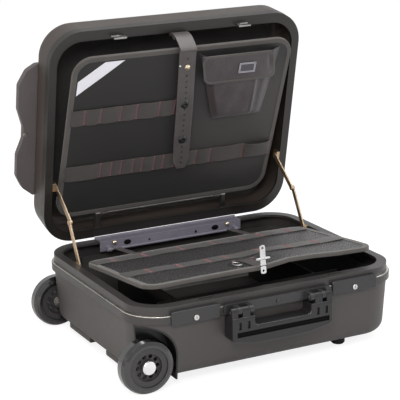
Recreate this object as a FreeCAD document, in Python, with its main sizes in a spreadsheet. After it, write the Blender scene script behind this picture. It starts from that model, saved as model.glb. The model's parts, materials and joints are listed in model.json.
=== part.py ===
"""A wheeled hard tool case with its lid open, its two tool panels, stays, locks, handles and wheels.

Millimetres. The case lies on its two wheels and two feet, the wheels at its left end (-X), the locks and the
carry handle at the front (-Y), the hinge at the back (+Y). Pieces of the base are drawn about the middle of
the case on the floor. Pieces of the lid are drawn in the lid's own frame: x along the hinge, y from the hinge
to the lid's front edge, z towards the inside of the case. Both tool panels have such a frame at their rods.
"""
import FreeCAD, Part
import math
import os

import Sketcher
from FreeCAD import Placement, Rotation, Vector

SIZES = {
    "rim_length": 534.0,
    "rim_width": 432.0,
    "rim_radius": 65.0,
    "rim_plane": 154.0,
    "rim_wall": 4.0,
    "rim_upper_height": 17.0,
    "rim_band_height": 13.0,
    "rim_band_overhang": 5.0,
    "rim_flange_side": 16.0,
    "rim_flange_front": 20.0,
    "rim_flange_thickness": 5.0,
    "rim_gap": 0.4,
    "bead_height": 1.6,
    "bead_overhang": 1.0,
    "lid_angle": 78.7,
    "lid_depth": 75.0,
    "draft_angle": 4.0,
    "shell_wall": 4.0,
    "floor_clearance": 20.0,
    "base_edge_radius": 22.0,
    "lid_edge_radius": 20.0,
    "clearance": 0.3,
    "running_clearance": 0.05,
    "overrun": 5.0,
    "ridge_depth": 8.0,
    "ridge_width": 95.0,
    "ridge_centre": 84.0,
    "ridge_end_inset": 14.0,
    "ridge_radius": 5.0,
    "liner_thickness": 3.0,
    "liner_foot": 24.0,
    "floor_board_thickness": 4.0,
    "floor_board_radius": 30.0,
    "divider_thickness": 3.0,
    "divider_height": 78.0,
    "wheel_radius": 50.0,
    "wheel_width": 32.0,
    "wheel_inset": 16.0,
    "tyre_depth": 14.0,
    "tyre_rounding": 9.0,
    "core_width": 28.0,
    "core_rim_thickness": 11.0,
    "core_web_thickness": 16.0,
    "hub_radius": 13.5,
    "spoke_width": 5.0,
    "bearing_radius": 11.0,
    "bearing_width": 8.0,
    "axle_radius": 5.0,
    "hub_cap_radius": 12.5,
    "hub_cap_thickness": 3.0,
    "arch_gap": 7.5,
    "arch_radius": 60.0,
    "arch_top": 119.0,
    "housing_depth": 40.0,
    "housing_wall": 3.0,
    "foot_radius": 13.0,
    "foot_inset_x": 100.0,
    "foot_inset_y": 55.0,
    "foot_chamfer": 2.5,
    "tube_width": 20.0,
    "tube_height": 16.0,
    "tube_wall": 1.5,
    "tube_spacing": 168.0,
    "tube_length": 426.0,
    "tube_slack": 22.0,
    "inner_tube_wall": 1.2,
    "tunnel_wall": 4.0,
    "clamp_thickness": 1.4,
    "clamp_length": 20.0,
    "bezel_thickness": 26.0,
    "bezel_width": 216.0,
    "bezel_height": 32.0,
    "bezel_radius": 7.0,
    "grip_width": 200.0,
    "grip_depth": 20.0,
    "grip_height": 22.0,
    "grip_radius": 7.0,
    "button_width": 30.0,
    "button_height": 10.0,
    "button_depth": 10.0,
    "button_proud": 2.0,
    "button_travel": 5.0,
    "lock_width": 95.0,
    "lock_height": 26.0,
    "lock_depth": 7.7,
    "lock_centre": 162.5,
    "lock_bottom": 120.0,
    "lock_radius": 3.0,
    "key_radius": 5.0,
    "key_height": 129.5,
    "key_proud": 2.0,
    "key_depth": 18.0,
    "keyway_width": 1.2,
    "keyway_height": 5.0,
    "keyway_depth": 3.0,
    "crank_radius": 8.9,
    "crank_pin_radius": 1.5,
    "crank_slot_clearance": 0.6,
    "bolt_thickness": 3.0,
    "bolt_height": 4.0,
    "bolt_width": 17.0,
    "bolt_tongue": 9.0,
    "striker_centre": 132.0,
    "striker_width": 26.0,
    "striker_leg": 8.0,
    "striker_arm": 4.0,
    "striker_drop": 14.0,
    "striker_thickness": 3.0,
    "striker_edge": 15.0,
    "striker_root": 1.5,
    "striker_slot_clearance": 1.2,
    "mount_half_width": 108.0,
    "mount_height": 18.0,
    "mount_thickness": 4.0,
    "mount_radius": 3.0,
    "handle_half_width": 103.0,
    "handle_inner": 57.0,
    "handle_top": 121.0,
    "handle_depth": 30.0,
    "handle_grip_top": 103.0,
    "handle_droop": 10.0,
    "handle_ear_bottom": 77.0,
    "handle_corner": 8.0,
    "handle_edge": 4.0,
    "handle_pivot_height": 131.0,
    "handle_pivot_out": 20.0,
    "handle_knuckle": 7.0,
    "handle_pin_radius": 3.0,
    "lug_width": 8.0,
    "ear_groove_width": 5.0,
    "ear_groove_depth": 4.0,
    "insert_half_width": 94.0,
    "insert_bottom": 85.0,
    "insert_height": 9.0,
    "insert_depth": 3.0,
    "screw_radius": 4.0,
    "screw_head": 1.8,
    "hinge_half_length": 157.0,
    "hinge_knuckle": 3.0,
    "hinge_pin_radius": 1.4,
    "hinge_leaf": 1.2,
    "hinge_drop": 21.0,
    "hinge_screw_place": 126.0,
    "hinge_hole_place": 98.0,
    "hinge_hole_radius": 3.2,
    "stay_width": 10.0,
    "stay_thickness": 2.4,
    "stay_link": 87.0,
    "stay_gap": 0.3,
    "stay_pin_radius": 2.4,
    "stay_base_y": 91.0,
    "stay_base_drop": 8.0,
    "stay_lid_out": 124.0,
    "stay_lid_depth": 6.0,
    "stay_bracket": 18.0,
    "panel_thickness": 6.0,
    "binding_width": 7.0,
    "binding_lip": 1.0,
    "lid_panel_side": 34.5,
    "lid_panel_front": 69.0,
    "lid_panel_radius": 38.0,
    "lid_panel_out": 39.0,
    "lid_panel_depth": 30.0,
    "lid_panel_lean": 9.8,
    "rod_radius": 2.5,
    "rod_half_length": 146.0,
    "tab_place": 126.0,
    "tab_width": 14.0,
    "tab_thickness": 2.5,
    "eye_radius": 4.4,
    "bracket_width": 8.0,
    "bracket_place": 141.0,
    "elastic_height": 34.0,
    "elastic_thickness": 1.6,
    "elastic_bulge": 3.0,
    "upper_row_height": 218.0,
    "lower_row_height": 92.0,
    "label_thickness": 0.6,
    "pocket_depth": 17.0,
    "pocket_wall": 1.6,
    "flap_thickness": 2.0,
    "flap_drop": 62.0,
    "flap_radius": 14.0,
    "plate_thickness": 0.8,
    "strap_width": 31.0,
    "strap_thickness": 2.2,
    "strap_lift": 7.6,
    "strap_tip": 92.0,
    "eyelet_radius": 6.0,
    "eyelet_hole": 3.2,
    "stud_radius": 5.5,
    "stud_height": 2.0,
    "base_panel_side": 32.0,
    "base_panel_near": 93.0,
    "base_panel_front": 64.0,
    "base_panel_radius": 28.0,
    "base_panel_lean": 6.25,
    "base_rod_y": 186.0,
    "base_rod_height": 138.0,
    "base_panel_rise": 6.5,
    "band_width": 36.0,
    "band_thickness": 1.2,
    "band_inset": 109.5,
    "band_step": 134.0,
    "clasp_width": 11.0,
    "clasp_thickness": 3.0,
    "clasp_rise": 36.0,
    "clasp_drop": 14.0,
    "clasp_place": -5.0,
    "clasp_bar_rise": 11.0,
    "clasp_pivot_radius": 2.0,
    "clasp_bar": 28.0,
    "clasp_bar_radius": 2.4,
    "clasp_eye_hole": 2.2,
    "clasp_strap_length": 64.0,
    "clasp_strap_width": 26.0,
    "clasp_tab_width": 34.0,
    "clasp_tab_height": 22.0,
    "lid_foot_front": 62.0,
    "lid_foot_thickness": 12.0,
    "lid_foot_reach": 34.0,
    "lid_foot_radius": 24.0,
    "lid_foot_edge": 2.5,
    "lid_liner_depth": 4.0,
    "liner_radius": 45.0,
    "liner_inset": 12.0,
}

ROW_STITCHES_UPPER_SHARE = (-0.97, -0.855, -0.715, -0.535, -0.39, -0.185, -0.045)
ROW_STITCHES_LOWER_SHARE = (-0.97, -0.65, -0.55, -0.46, -0.35, -0.265, -0.155, -0.07, 0.03, 0.245, 0.38,
                            0.705, 0.97)
LABEL_SHARES = ((-0.95, 0.783), (-0.56, 0.968), (-0.73, 0.968), (-0.95, 0.865))
POCKET_SHARES = ((0.33, 0.565), (0.79, 0.555), (0.86, 0.955), (0.12, 0.965))
FLAP_SHARE = (0.09, 0.80)
FOOT_OUTLINE_SHARES = ((0.0, 0.195), (0.62, 0.235), (1.0, 0.295), (1.0, 0.40), (0.66, 0.475), (0.66, 0.53),
                       (1.0, 0.615), (1.0, 0.73), (0.55, 0.795), (0.0, 0.82))
LID_FOOT_SCREW_SHARE = (0.55, 0.495)
DIVIDER_X_SHARES = (-0.25, 0.3)
DIVIDER_Y_SHARE = -0.2
EYELET_PLACES_SHARE = (0.67, 0.445)
STRAP_PLACE_SHARE = (-0.02, 0.095)
POCKET_PLATE_SHARES = (0.46, 0.62)
TREAD_SHOULDER_SHARE = 0.3
WINDOW_CORNER_SHARE = 0.9
BOSS_STEP_SHARE = 0.6
CLAMP_PLACE_SHARES = (0.12, 0.88)
LUG_UNDER_SHARE = 0.7
DROOP_PLACE_SHARE = 0.55
DROOP_DEPTH_SHARE = 0.85
EAR_GROOVE_SHARES = (0.3, 0.68)
PIN_HEAD_SHARE = 0.9
LINK_END_SHARE = 0.998
BRACKET_EAR_SHARE = 0.9
BULGE_PLACE_SHARES = (0.22, 0.5, 0.78)
BULGE_SIDE_SHARE = 0.8
BULGE_SLOPE_SHARE = 8.0
PLATE_PLACE_SHARES = (0.6, 0.25)
STRAP_STUD_PLACE_SHARE = 0.9
BRIDGE_UP_SHARES = (0.8, 1.2, 1.6, 2.4)
BRIDGE_LOW_SHARE = 0.6
PULL_CORNER_SHARE = 0.6
HOOK_CORNER_SHARE = 0.9
STRAP_HOLE_SHARE = 0.72
LOBE_CORNER_SHARE = 0.6
LOBE_REACH_SHARE = 0.5
SPOKES = 10
KNUCKLES = 9

doc = FreeCAD.newDocument("ToolCase")
sheet = doc.addObject("Spreadsheet::Sheet", "Sizes")


class Size:
    """A number with the spreadsheet expression that gives it."""

    def __init__(self, value, text):
        self.value = value
        self.text = text

    def __add__(self, other):
        other = size(other)
        return Size(self.value + other.value, f"({self.text} + {other.text})")

    def __sub__(self, other):
        other = size(other)
        return Size(self.value - other.value, f"({self.text} - {other.text})")

    def __mul__(self, other):
        other = size(other)
        return Size(self.value * other.value, f"({self.text} * {other.text})")

    def __truediv__(self, other):
        other = size(other)
        return Size(self.value / other.value, f"({self.text} / {other.text})")

    def __radd__(self, other):
        return size(other) + self

    def __rsub__(self, other):
        return size(other) - self

    def __rmul__(self, other):
        return size(other) * self

    def __neg__(self):
        return size(-1) * self

    def __float__(self):
        return float(self.value)

    def tan(self):
        return Size(math.tan(math.radians(self.value)), f"tan({self.text} * 1deg)")

    def sin(self):
        return Size(math.sin(math.radians(self.value)), f"sin({self.text} * 1deg)")

    def cos(self):
        return Size(math.cos(math.radians(self.value)), f"cos({self.text} * 1deg)")


def size(number):
    """The number itself as a Size."""
    return number if isinstance(number, Size) else Size(float(number), f"({float(number)!r})")


class Sheet:
    """Every cell of the spreadsheet as a Size of that name."""

    def __init__(self, cells):
        for row, (name, value) in enumerate(cells.items(), start=1):
            sheet.set(f"A{row}", name)
            sheet.set(f"B{row}", str(value))
            sheet.setAlias(f"B{row}", name)
            setattr(self, name, Size(value, f"Sizes.{name}"))


s = Sheet(SIZES)
doc.recompute()

# sizes and places that several pieces share
half_length = s.rim_length / 2
half_width = s.rim_width / 2
lid_panel_width = s.rim_length - s.lid_panel_side * 2
lid_panel_height = s.rim_width - s.lid_panel_front
base_panel_width = s.rim_length - s.base_panel_side * 2
base_panel_far = s.rim_width - s.base_panel_front
shell_top = s.rim_plane - s.rim_upper_height - s.rim_band_height
band_top = s.rim_plane - s.rim_upper_height
inner_x = half_length - s.rim_flange_side
inner_y = half_width - s.rim_flange_front
wheel_x = half_length - s.wheel_inset
wheel_y = half_width - s.wheel_inset
housing_y = half_width - s.housing_depth
tube_y = s.tube_spacing / 2
tube_z = s.floor_clearance + s.clearance * 6
tube_end = half_length - s.bezel_thickness - s.overrun
grip_out = half_length - s.overrun + s.grip_depth
hinge_offset = s.hinge_knuckle + s.clearance
hinge_y = half_width + hinge_offset
bolt_y = half_width - s.striker_edge
handle_y = half_width + s.rim_band_overhang + s.handle_pivot_out - s.rim_band_overhang
frame_x = (wheel_x + s.wheel_radius - grip_out - s.button_proud) / 2
edge_depth = s.lid_depth - s.lid_edge_radius
edge_out = hinge_offset + (edge_depth - s.rim_upper_height) * s.draft_angle.tan() + s.lid_edge_radius / s.draft_angle.cos()
lid_back = hinge_y - edge_out * s.lid_angle.cos() + edge_depth * s.lid_angle.sin() + s.lid_edge_radius
handle_front = half_width + s.handle_depth + s.clearance
frame_y = (handle_front - lid_back) / 2


def mirrored(side, low, high):
    """The span from low to high, or its mirror image where side is negative."""
    return (low, high) if side > 0 else (-high, -low)


def bind(thing, path, amount):
    thing.setExpression(path, size(amount).text)


def locate(thing, x, y, z, turn=None):
    """Puts a finished piece in place, turned about X."""
    if turn is not None:
        thing.Placement = Placement(Vector(0, 0, 0), Rotation(Vector(1, 0, 0), float(turn)))
        bind(thing, "Placement.Rotation.Angle", turn)
    bind(thing, "Placement.Base.x", x)
    bind(thing, "Placement.Base.y", y)
    bind(thing, "Placement.Base.z", z)


def in_base(thing):
    locate(thing, frame_x, frame_y, 0)
    return thing


def in_lid(thing):
    locate(thing, frame_x, frame_y + hinge_y, s.rim_plane, 180 - s.lid_angle)
    return thing


def in_lid_panel(thing):
    """The lid panel's rod is its origin, and the panel leans out of the lid."""
    across = s.lid_panel_out
    deep = s.lid_panel_depth
    y = hinge_y - across * s.lid_angle.cos() + deep * s.lid_angle.sin()
    z = s.rim_plane + across * s.lid_angle.sin() + deep * s.lid_angle.cos()
    locate(thing, frame_x, frame_y + y, z, 180 - s.lid_angle + s.lid_panel_lean)
    return thing


def in_base_panel(thing):
    """The base panel's rod is its origin; the panel reaches towards -y of its frame."""
    locate(thing, frame_x, frame_y + s.base_rod_y, s.base_rod_height, -s.base_panel_lean)
    return thing


def body(label):
    piece = doc.addObject("PartDesign::Body", label)
    piece.Label = label
    return piece


def group(label, members):
    """Identical or matching solids that share one node."""
    bundle = doc.addObject("Part::Compound", label)
    bundle.Label = label
    bundle.Links = members
    return bundle


def cut_away(label, base, tools):
    """The base piece less the tools."""
    tool = tools[0] if len(tools) == 1 else group(label + "_cutters", tools)
    result = doc.addObject("Part::Cut", label)
    result.Label = label
    result.Base = base
    result.Tool = tool
    return result


def block(piece, name, x, y, z, cut=False):
    """A box between the two ends of each span."""
    kind = "PartDesign::SubtractiveBox" if cut else "PartDesign::AdditiveBox"
    box = piece.newObject(kind, name)
    for side, span in (("Length", x), ("Width", y), ("Height", z)):
        bind(box, side, size(span[1]) - span[0])
    for axis, span in (("x", x), ("y", y), ("z", z)):
        bind(box, f"Placement.Base.{axis}", span[0])
    return box


def rod(piece, name, axis, centre, radius, span, cut=False):
    """A cylinder along an axis; centre gives its two other coordinates in X, Y, Z order."""
    kind = "PartDesign::SubtractiveCylinder" if cut else "PartDesign::AdditiveCylinder"
    cylinder = piece.newObject(kind, name)
    turns = {"x": Rotation(Vector(0, 1, 0), 90), "y": Rotation(Vector(1, 0, 0), -90), "z": Rotation()}
    cylinder.Placement = Placement(Vector(0, 0, 0), turns[axis])
    bind(cylinder, "Radius", radius)
    bind(cylinder, "Height", size(span[1]) - span[0])
    places = dict(zip([other for other in "xyz" if other != axis], centre))
    places[axis] = span[0]
    for other in "xyz":
        bind(cylinder, f"Placement.Base.{other}", places[other])
    return cylinder


def sketch_on(piece, plane, name, level):
    """An empty sketch on one of the piece's origin planes, moved along its normal."""
    sketch = piece.newObject("Sketcher::SketchObject", name)
    support = [feature for feature in piece.Origin.OriginFeatures if feature.Role == plane + "_Plane"][0]
    sketch.AttachmentSupport = (support, [""])
    sketch.MapMode = "FlatFace"
    bind(sketch, "AttachmentOffset.Base.z", level)
    return sketch


def measure(sketch, name, constraint, amount):
    number = sketch.addConstraint(constraint)
    sketch.renameConstraint(number, name)
    bind(sketch, f"Constraints.{name}", amount)


def polygon(sketch, points):
    """A closed outline through points given as Sizes."""
    flat = [Vector(float(size(x)), float(size(y)), 0) for x, y in points]
    for start, end in zip(flat, flat[1:] + flat[:1]):
        sketch.addGeometry(Part.LineSegment(start, end), False)
    count = len(points)
    for line in range(count):
        sketch.addConstraint(Sketcher.Constraint("Coincident", line, 2, (line + 1) % count, 1))
    for line, (x, y) in enumerate(points):
        measure(sketch, f"across{line}", Sketcher.Constraint("DistanceX", line, 1, flat[line].x), x)
        measure(sketch, f"along{line}", Sketcher.Constraint("DistanceY", line, 1, flat[line].y), y)


def rounded(sketch, x, y, radius):
    """A rectangle between two spans with four equal round corners."""
    x = [size(end) for end in x]
    y = [size(end) for end in y]
    radius = size(radius)
    near = (x[0] + radius, y[0] + radius)
    far = (x[1] - radius, y[1] - radius)
    r = float(radius)
    corners = ((near[0], near[1], 2), (far[0], near[1], 3), (far[0], far[1], 0), (near[0], far[1], 1))
    quarter = math.pi / 2
    for across, along, start in corners:
        circle = Part.Circle(Vector(float(across), float(along), 0), Vector(0, 0, 1), r)
        sketch.addGeometry(Part.ArcOfCircle(circle, quarter * start, quarter * (start + 1)), False)
    for corner in range(4):
        start = sketch.Geometry[corner].EndPoint
        end = sketch.Geometry[(corner + 1) % 4].StartPoint
        sketch.addGeometry(Part.LineSegment(start, end), False)
    for corner in range(4):
        line = corner + 4
        sketch.addConstraint(Sketcher.Constraint("Tangent", corner, 2, line, 1))
        sketch.addConstraint(Sketcher.Constraint("Tangent", line, 2, (corner + 1) % 4, 1))
        sketch.addConstraint(Sketcher.Constraint("Vertical" if corner % 2 else "Horizontal", line))
    for corner in (1, 2, 3):
        sketch.addConstraint(Sketcher.Constraint("Equal", 0, corner))
    measure(sketch, "radius", Sketcher.Constraint("Radius", 0, r), radius)
    for name, corner, (across, along) in (("near", 0, near), ("far", 2, far)):
        measure(sketch, name + "across", Sketcher.Constraint("DistanceX", -1, 1, corner, 3, float(across)),
                across)
        measure(sketch, name + "along", Sketcher.Constraint("DistanceY", -1, 1, corner, 3, float(along)),
                along)


def prism(piece, name, plane, draw, span, cut=False):
    """Material, or a cut, of the drawn outline over the span of the plane's third axis."""
    low, high = (size(end) for end in span)
    level = -high if plane == "XZ" else low
    sketch = sketch_on(piece, plane, name + "_sketch", level)
    draw(sketch)
    feature = piece.newObject("PartDesign::Pocket" if cut else "PartDesign::Pad", name)
    feature.Profile = sketch
    feature.Reversed = cut
    bind(feature, "Length", high - low)
    return feature


def shape_of(*points):
    return lambda sketch: polygon(sketch, points)


def plate_of(x, y, radius):
    return lambda sketch: rounded(sketch, x, y, radius)


def turned(piece, name, points, cut=False):
    """A revolved outline about Y; each point is a radius and a place along Y."""
    sketch = sketch_on(piece, "XY", name + "_sketch", 0)
    polygon(sketch, points)
    feature = piece.newObject("PartDesign::Groove" if cut else "PartDesign::Revolution", name)
    feature.Profile = sketch
    feature.ReferenceAxis = (sketch, ["V_Axis"])
    feature.Angle = 360
    return feature


def tub(piece, name, inset, wide, narrow, centre=0):
    """The case's plan outline, drawn in by an inset at its wide level, drafted down to its narrow level."""
    sketch = sketch_on(piece, "XY", name + "_sketch", wide)
    rounded(sketch, (inset - half_length, half_length - inset),
            (centre + inset - half_width, centre + half_width - inset), s.rim_radius - inset)
    feature = piece.newObject("PartDesign::Pad", name)
    feature.Profile = sketch
    feature.Reversed = True
    bind(feature, "Length", size(wide) - narrow)
    bind(feature, "TaperAngle", -s.draft_angle)
    return feature


def near(one, other):
    return abs(one - float(other)) < 1e-4


def soften(piece, name, radius, wanted, kind="Fillet"):
    """Fillets or chamfers every edge of the piece so far that the test wants."""
    doc.recompute()
    tip = piece.Tip
    names = [f"Edge{number}" for number, edge in enumerate(tip.Shape.Edges, start=1) if wanted(edge)]
    feature = piece.newObject(f"PartDesign::{kind}", name)
    feature.Base = (tip, names)
    bind(feature, "Radius" if kind == "Fillet" else "Size", radius)
    return feature


def at_level(axis, level):
    """Edges that lie wholly in one plane across an axis."""
    low, high = axis.upper() + "Min", axis.upper() + "Max"
    return lambda edge: near(getattr(edge.BoundBox, low), level) and near(getattr(edge.BoundBox, high), level)


def along(axis, where=lambda box: True):
    """Straight edges along an axis whose bounding box passes a further test."""
    lengths = {"x": "XLength", "y": "YLength", "z": "ZLength"}
    others = [name for key, name in lengths.items() if key != axis]

    def wanted(edge):
        box = edge.BoundBox
        flat = all(getattr(box, name) < 1e-4 for name in others)
        return flat and getattr(box, lengths[axis]) > 1e-3 and where(box)
    return wanted


def ring_plan(grow_x, grow_y, grow_radius, centre=0):
    """The rim's plan outline, grown or drawn in."""
    x = (-half_length - grow_x, half_length + grow_x)
    y = (centre - half_width - grow_y, centre + half_width + grow_y)
    return plate_of(x, y, s.rim_radius + grow_radius)


def base_shell():
    """The lower tub: drafted walls, skid ridges, tunnels for the tubes, wheel arches and a bezel recess."""
    draft = s.draft_angle.tan()
    outer = body("base_tub_outside")
    tub(outer, "walls", size(0), shell_top, s.floor_clearance)
    soften(outer, "bottom_edge", s.base_edge_radius, at_level("z", s.floor_clearance))
    inner_floor = s.floor_clearance + s.shell_wall
    for side in (-1, 1):
        y = mirrored(side, s.ridge_centre - s.ridge_width / 2, s.ridge_centre + s.ridge_width / 2)
        x = (s.ridge_end_inset - half_length, half_length - s.ridge_end_inset - s.base_edge_radius)
        block(outer, "ridge", x, y, (s.floor_clearance - s.ridge_depth, inner_floor))
    soften(outer, "ridge_edge", s.ridge_radius, at_level("z", s.floor_clearance - s.ridge_depth))
    inner = body("base_tub_inside")
    tub(inner, "space", s.shell_wall - s.overrun * draft, shell_top + s.overrun, inner_floor)
    soften(inner, "bottom_edge", s.base_edge_radius - s.shell_wall, at_level("z", inner_floor))
    reach = s.tube_width / 2 + s.clearance + s.tunnel_wall
    tunnel_top = tube_z + s.tube_height / 2 + s.clearance + s.tunnel_wall
    for side in (-1, 1):
        y = mirrored(side, tube_y - reach, tube_y + reach)
        start = tube_end - s.tube_length - s.tunnel_wall
        block(inner, "tunnel", (start, half_length), y, (0, tunnel_top), cut=True)
    block(inner, "bezel_cover", (bezel_start - s.clearance - s.tunnel_wall, half_length),
          (-bezel_cover_half, bezel_cover_half), (0, bezel_cover_top), cut=True)
    cutters = []
    for side in (-1, 1):
        groove = body("tube_groove")
        y = mirrored(side, tube_y - s.tube_width / 2 - s.clearance, tube_y + s.tube_width / 2 + s.clearance)
        top = tube_z + s.tube_height / 2 + s.clearance
        block(groove, "groove", (tube_end - s.tube_length - s.clearance, half_length), y, (0, top))
        arch = body("arch_space")
        prism(arch, "arch", "XZ", arch_plan(0), mirrored(side, housing_y, half_width + s.overrun))
        cutters += [groove, arch]
    recess = body("bezel_recess")
    width = s.bezel_width / 2 + s.clearance
    top = s.floor_clearance - s.ridge_depth + s.bezel_height + s.clearance
    block(recess, "recess", (bezel_start - s.clearance, half_length + s.overrun), (-width, width), (0, top))
    cutters.append(recess)
    hollow = cut_away("base_tub", outer, [inner])
    return in_base(cut_away("base_shell", hollow, cutters))


def arch_plan(inset):
    """The wheel arch seen from the front, drawn in by an inset; it runs out past the end and the floor."""
    right = s.wheel_radius + s.arch_gap - wheel_x - inset
    out = half_length + s.arch_radius * 3
    down = s.arch_radius * 3
    return plate_of((-out, right), (-down, s.arch_top - inset), s.arch_radius - inset)


def base_rim():
    """The frame that tops the lower tub: a band that stands out, an upper wall and an inward flange."""
    rim = body("base_rim")
    overhang = s.rim_band_overhang
    prism(rim, "band", "XY", ring_plan(overhang, overhang, overhang), (shell_top, band_top))
    prism(rim, "upper", "XY", ring_plan(0, 0, 0), (band_top, s.rim_plane))
    opening_radius = s.rim_radius - s.rim_flange_side
    opening = plate_of((-inner_x, inner_x), (-inner_y, inner_y), opening_radius)
    prism(rim, "opening", "XY", opening, (shell_top, s.rim_plane + s.overrun), cut=True)
    wall = -s.rim_wall
    under = s.rim_plane - s.rim_flange_thickness
    prism(rim, "under_flange", "XY", ring_plan(wall, wall, wall), (shell_top - s.overrun, under), cut=True)
    for side in (-1, 1):
        lock = mirrored(side, s.lock_centre - s.lock_width / 2 - s.clearance,
                        s.lock_centre + s.lock_width / 2 + s.clearance)
        front = (-half_width - overhang - s.overrun, -half_width)
        block(rim, "lock_notch", lock, front, (shell_top - s.overrun, band_top + s.bead_height), cut=True)
        hole = s.key_radius + s.clearance * 2
        rod(rim, "key_hole", "y", (s.lock_centre * side, s.key_height), hole,
            (-half_width - s.overrun, s.overrun - half_width + s.rim_wall), cut=True)
        slot = mirrored(side, s.striker_centre - s.striker_width / 2 - s.striker_slot_clearance,
                        s.striker_centre + s.striker_width / 2 + s.striker_slot_clearance)
        y = (-bolt_y - s.striker_thickness / 2 - s.striker_slot_clearance,
             s.striker_thickness / 2 + s.striker_slot_clearance - bolt_y)
        block(rim, "striker_slot", slot, y, (under - s.overrun, s.rim_plane + s.overrun), cut=True)
    half = s.hinge_half_length + s.clearance
    sunk = s.rim_plane - s.hinge_leaf - s.clearance * 2
    block(rim, "hinge_seat", (-half, half), (inner_y - s.overrun, half_width + s.overrun),
          (sunk, s.rim_plane + s.overrun), cut=True)
    return in_base(rim)


def rim_bead():
    """The bright bead on the ledge between the rim's band and its upper wall."""
    bead = body("rim_bead")
    out = s.rim_band_overhang
    proud = out - s.bead_overhang
    low = band_top + s.clearance / 2
    prism(bead, "strip", "XY", ring_plan(proud, proud, proud), (low, low + s.bead_height))
    seat = s.clearance
    prism(bead, "opening", "XY", ring_plan(seat, seat, seat),
          (low - s.overrun, low + s.bead_height + s.overrun),
          cut=True)
    for side in (-1, 1):
        lock = mirrored(side, s.lock_centre - s.lock_width / 2 - s.clearance,
                        s.lock_centre + s.lock_width / 2 + s.clearance)
        block(bead, "lock_gap", lock, (-half_width - out - s.overrun, s.overrun - half_width),
              (low - s.overrun, low + s.bead_height + s.overrun), cut=True)
    return in_base(bead)


def base_liner():
    """The lining of the lower tub's walls, cut away round the wheel housings."""
    draft = s.draft_angle.tan()
    low = s.floor_clearance + s.liner_foot
    high = shell_top - s.clearance
    lining = body("liner_outside")
    gap = s.shell_wall + s.clearance
    tub(lining, "walls", gap + (shell_top - high) * draft, high, low)
    space = body("liner_inside")
    tub(space, "space", gap + s.liner_thickness + (shell_top - high - s.overrun) * draft, high + s.overrun,
        low - s.overrun)
    cutters = [space]
    for side in (-1, 1):
        corner = body("housing_space")
        x = (-half_length - s.overrun, s.wheel_radius + s.arch_gap - wheel_x + s.housing_wall)
        block(corner, "space", x, mirrored(side, housing_y - s.housing_wall, half_width + s.overrun),
              (0, s.arch_top + s.housing_wall))
        cutters.append(corner)
    cover = body("bezel_cover_space")
    reach = bezel_cover_half + s.clearance
    block(cover, "space", (bezel_start - s.clearance * 2 - s.tunnel_wall, half_length), (-reach, reach),
          (0, bezel_cover_top + s.clearance))
    cutters.append(cover)
    return in_base(cut_away("base_liner", lining, cutters))


floor_board_low = tube_z + s.tube_height / 2 + s.clearance * 2 + s.tunnel_wall
bezel_start = half_length - s.bezel_thickness - s.overrun
bezel_cover_half = s.bezel_width / 2 + s.clearance + s.tunnel_wall
bezel_cover_top = s.floor_clearance - s.ridge_depth + s.bezel_height + s.clearance + s.tunnel_wall
floor_board_x = (s.wheel_radius + s.arch_gap - wheel_x + s.housing_wall * 2, bezel_start - s.overrun * 2)
floor_board_y = housing_y - s.housing_wall * 2


def base_floor_board():
    """The inner floor, which lies on the two tunnels."""
    board = body("base_floor_board")
    high = floor_board_low + s.floor_board_thickness
    prism(board, "board", "XY", plate_of(floor_board_x, (-floor_board_y, floor_board_y),
                                         s.floor_board_radius),
          (floor_board_low, high))
    return board


def base_insert():
    """The inner floor with one long and two short dividers that stand on it."""
    low = floor_board_low + s.floor_board_thickness + s.clearance
    z = (low, low + s.divider_height)
    half = s.divider_thickness / 2
    place = s.rim_width * DIVIDER_Y_SHARE
    long_one = body("long_divider")
    inset = s.floor_board_radius
    block(long_one, "board", (floor_board_x[0] + inset / 2, floor_board_x[1] - inset / 2),
          (place - half, place + half), z)
    members = [base_floor_board(), long_one]
    for share in DIVIDER_X_SHARES:
        cross = body("cross_divider")
        x = s.rim_length * share
        block(cross, "board", (x - half, x + half), (place + half + s.clearance, floor_board_y - s.overrun),
              z)
        members.append(cross)
    return in_base(group("base_insert", members))


def wheel_housing(side, label):
    """The black liner of one wheel arch, open to the side, the end and below."""
    outside = body(label + "_outside")
    tub(outside, "walls", size(0), shell_top, s.floor_clearance - s.ridge_depth / 2)
    cutters = []
    plan = body(label + "_plan")
    prism(plan, "plan", "XZ", arch_plan(s.clearance),
          mirrored(side, housing_y + s.clearance, half_width + s.overrun * 2))
    cover = doc.addObject("Part::Common", label + "_block")
    cover.Base = outside
    cover.Tool = plan
    space = body(label + "_space")
    prism(space, "space", "XZ", arch_plan(s.housing_wall),
          mirrored(side, housing_y + s.housing_wall, half_width + s.overrun * 3))
    cutters.append(space)
    hole = body(label + "_hole")
    rod(hole, "hole", "y", (-wheel_x, s.wheel_radius), s.axle_radius + s.clearance,
        mirrored(side, housing_y - s.overrun, half_width))
    cutters.append(hole)
    return in_base(cut_away(label, cover, cutters))


def at_wheel(piece, side):
    locate(piece, frame_x - wheel_x, frame_y + wheel_y * side, s.wheel_radius)
    return piece


def flipped(side, points):
    return [(radius, place * side) for radius, place in points]


def wheel_tyre(side, label):
    tyre = body(label)
    half = s.wheel_width / 2
    out = s.wheel_radius
    inner = out - s.tyre_depth + s.running_clearance
    shoulder = s.tyre_rounding
    turned(tyre, "tread", [(inner, -half), (out - shoulder, -half),
                           (out - shoulder / 3, shoulder * TREAD_SHOULDER_SHARE - half),
                           (out, shoulder - half), (out, half - shoulder),
                           (out - shoulder / 3, half - shoulder * TREAD_SHOULDER_SHARE),
                           (out - shoulder, half), (inner, half)])
    return at_wheel(tyre, side)


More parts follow.
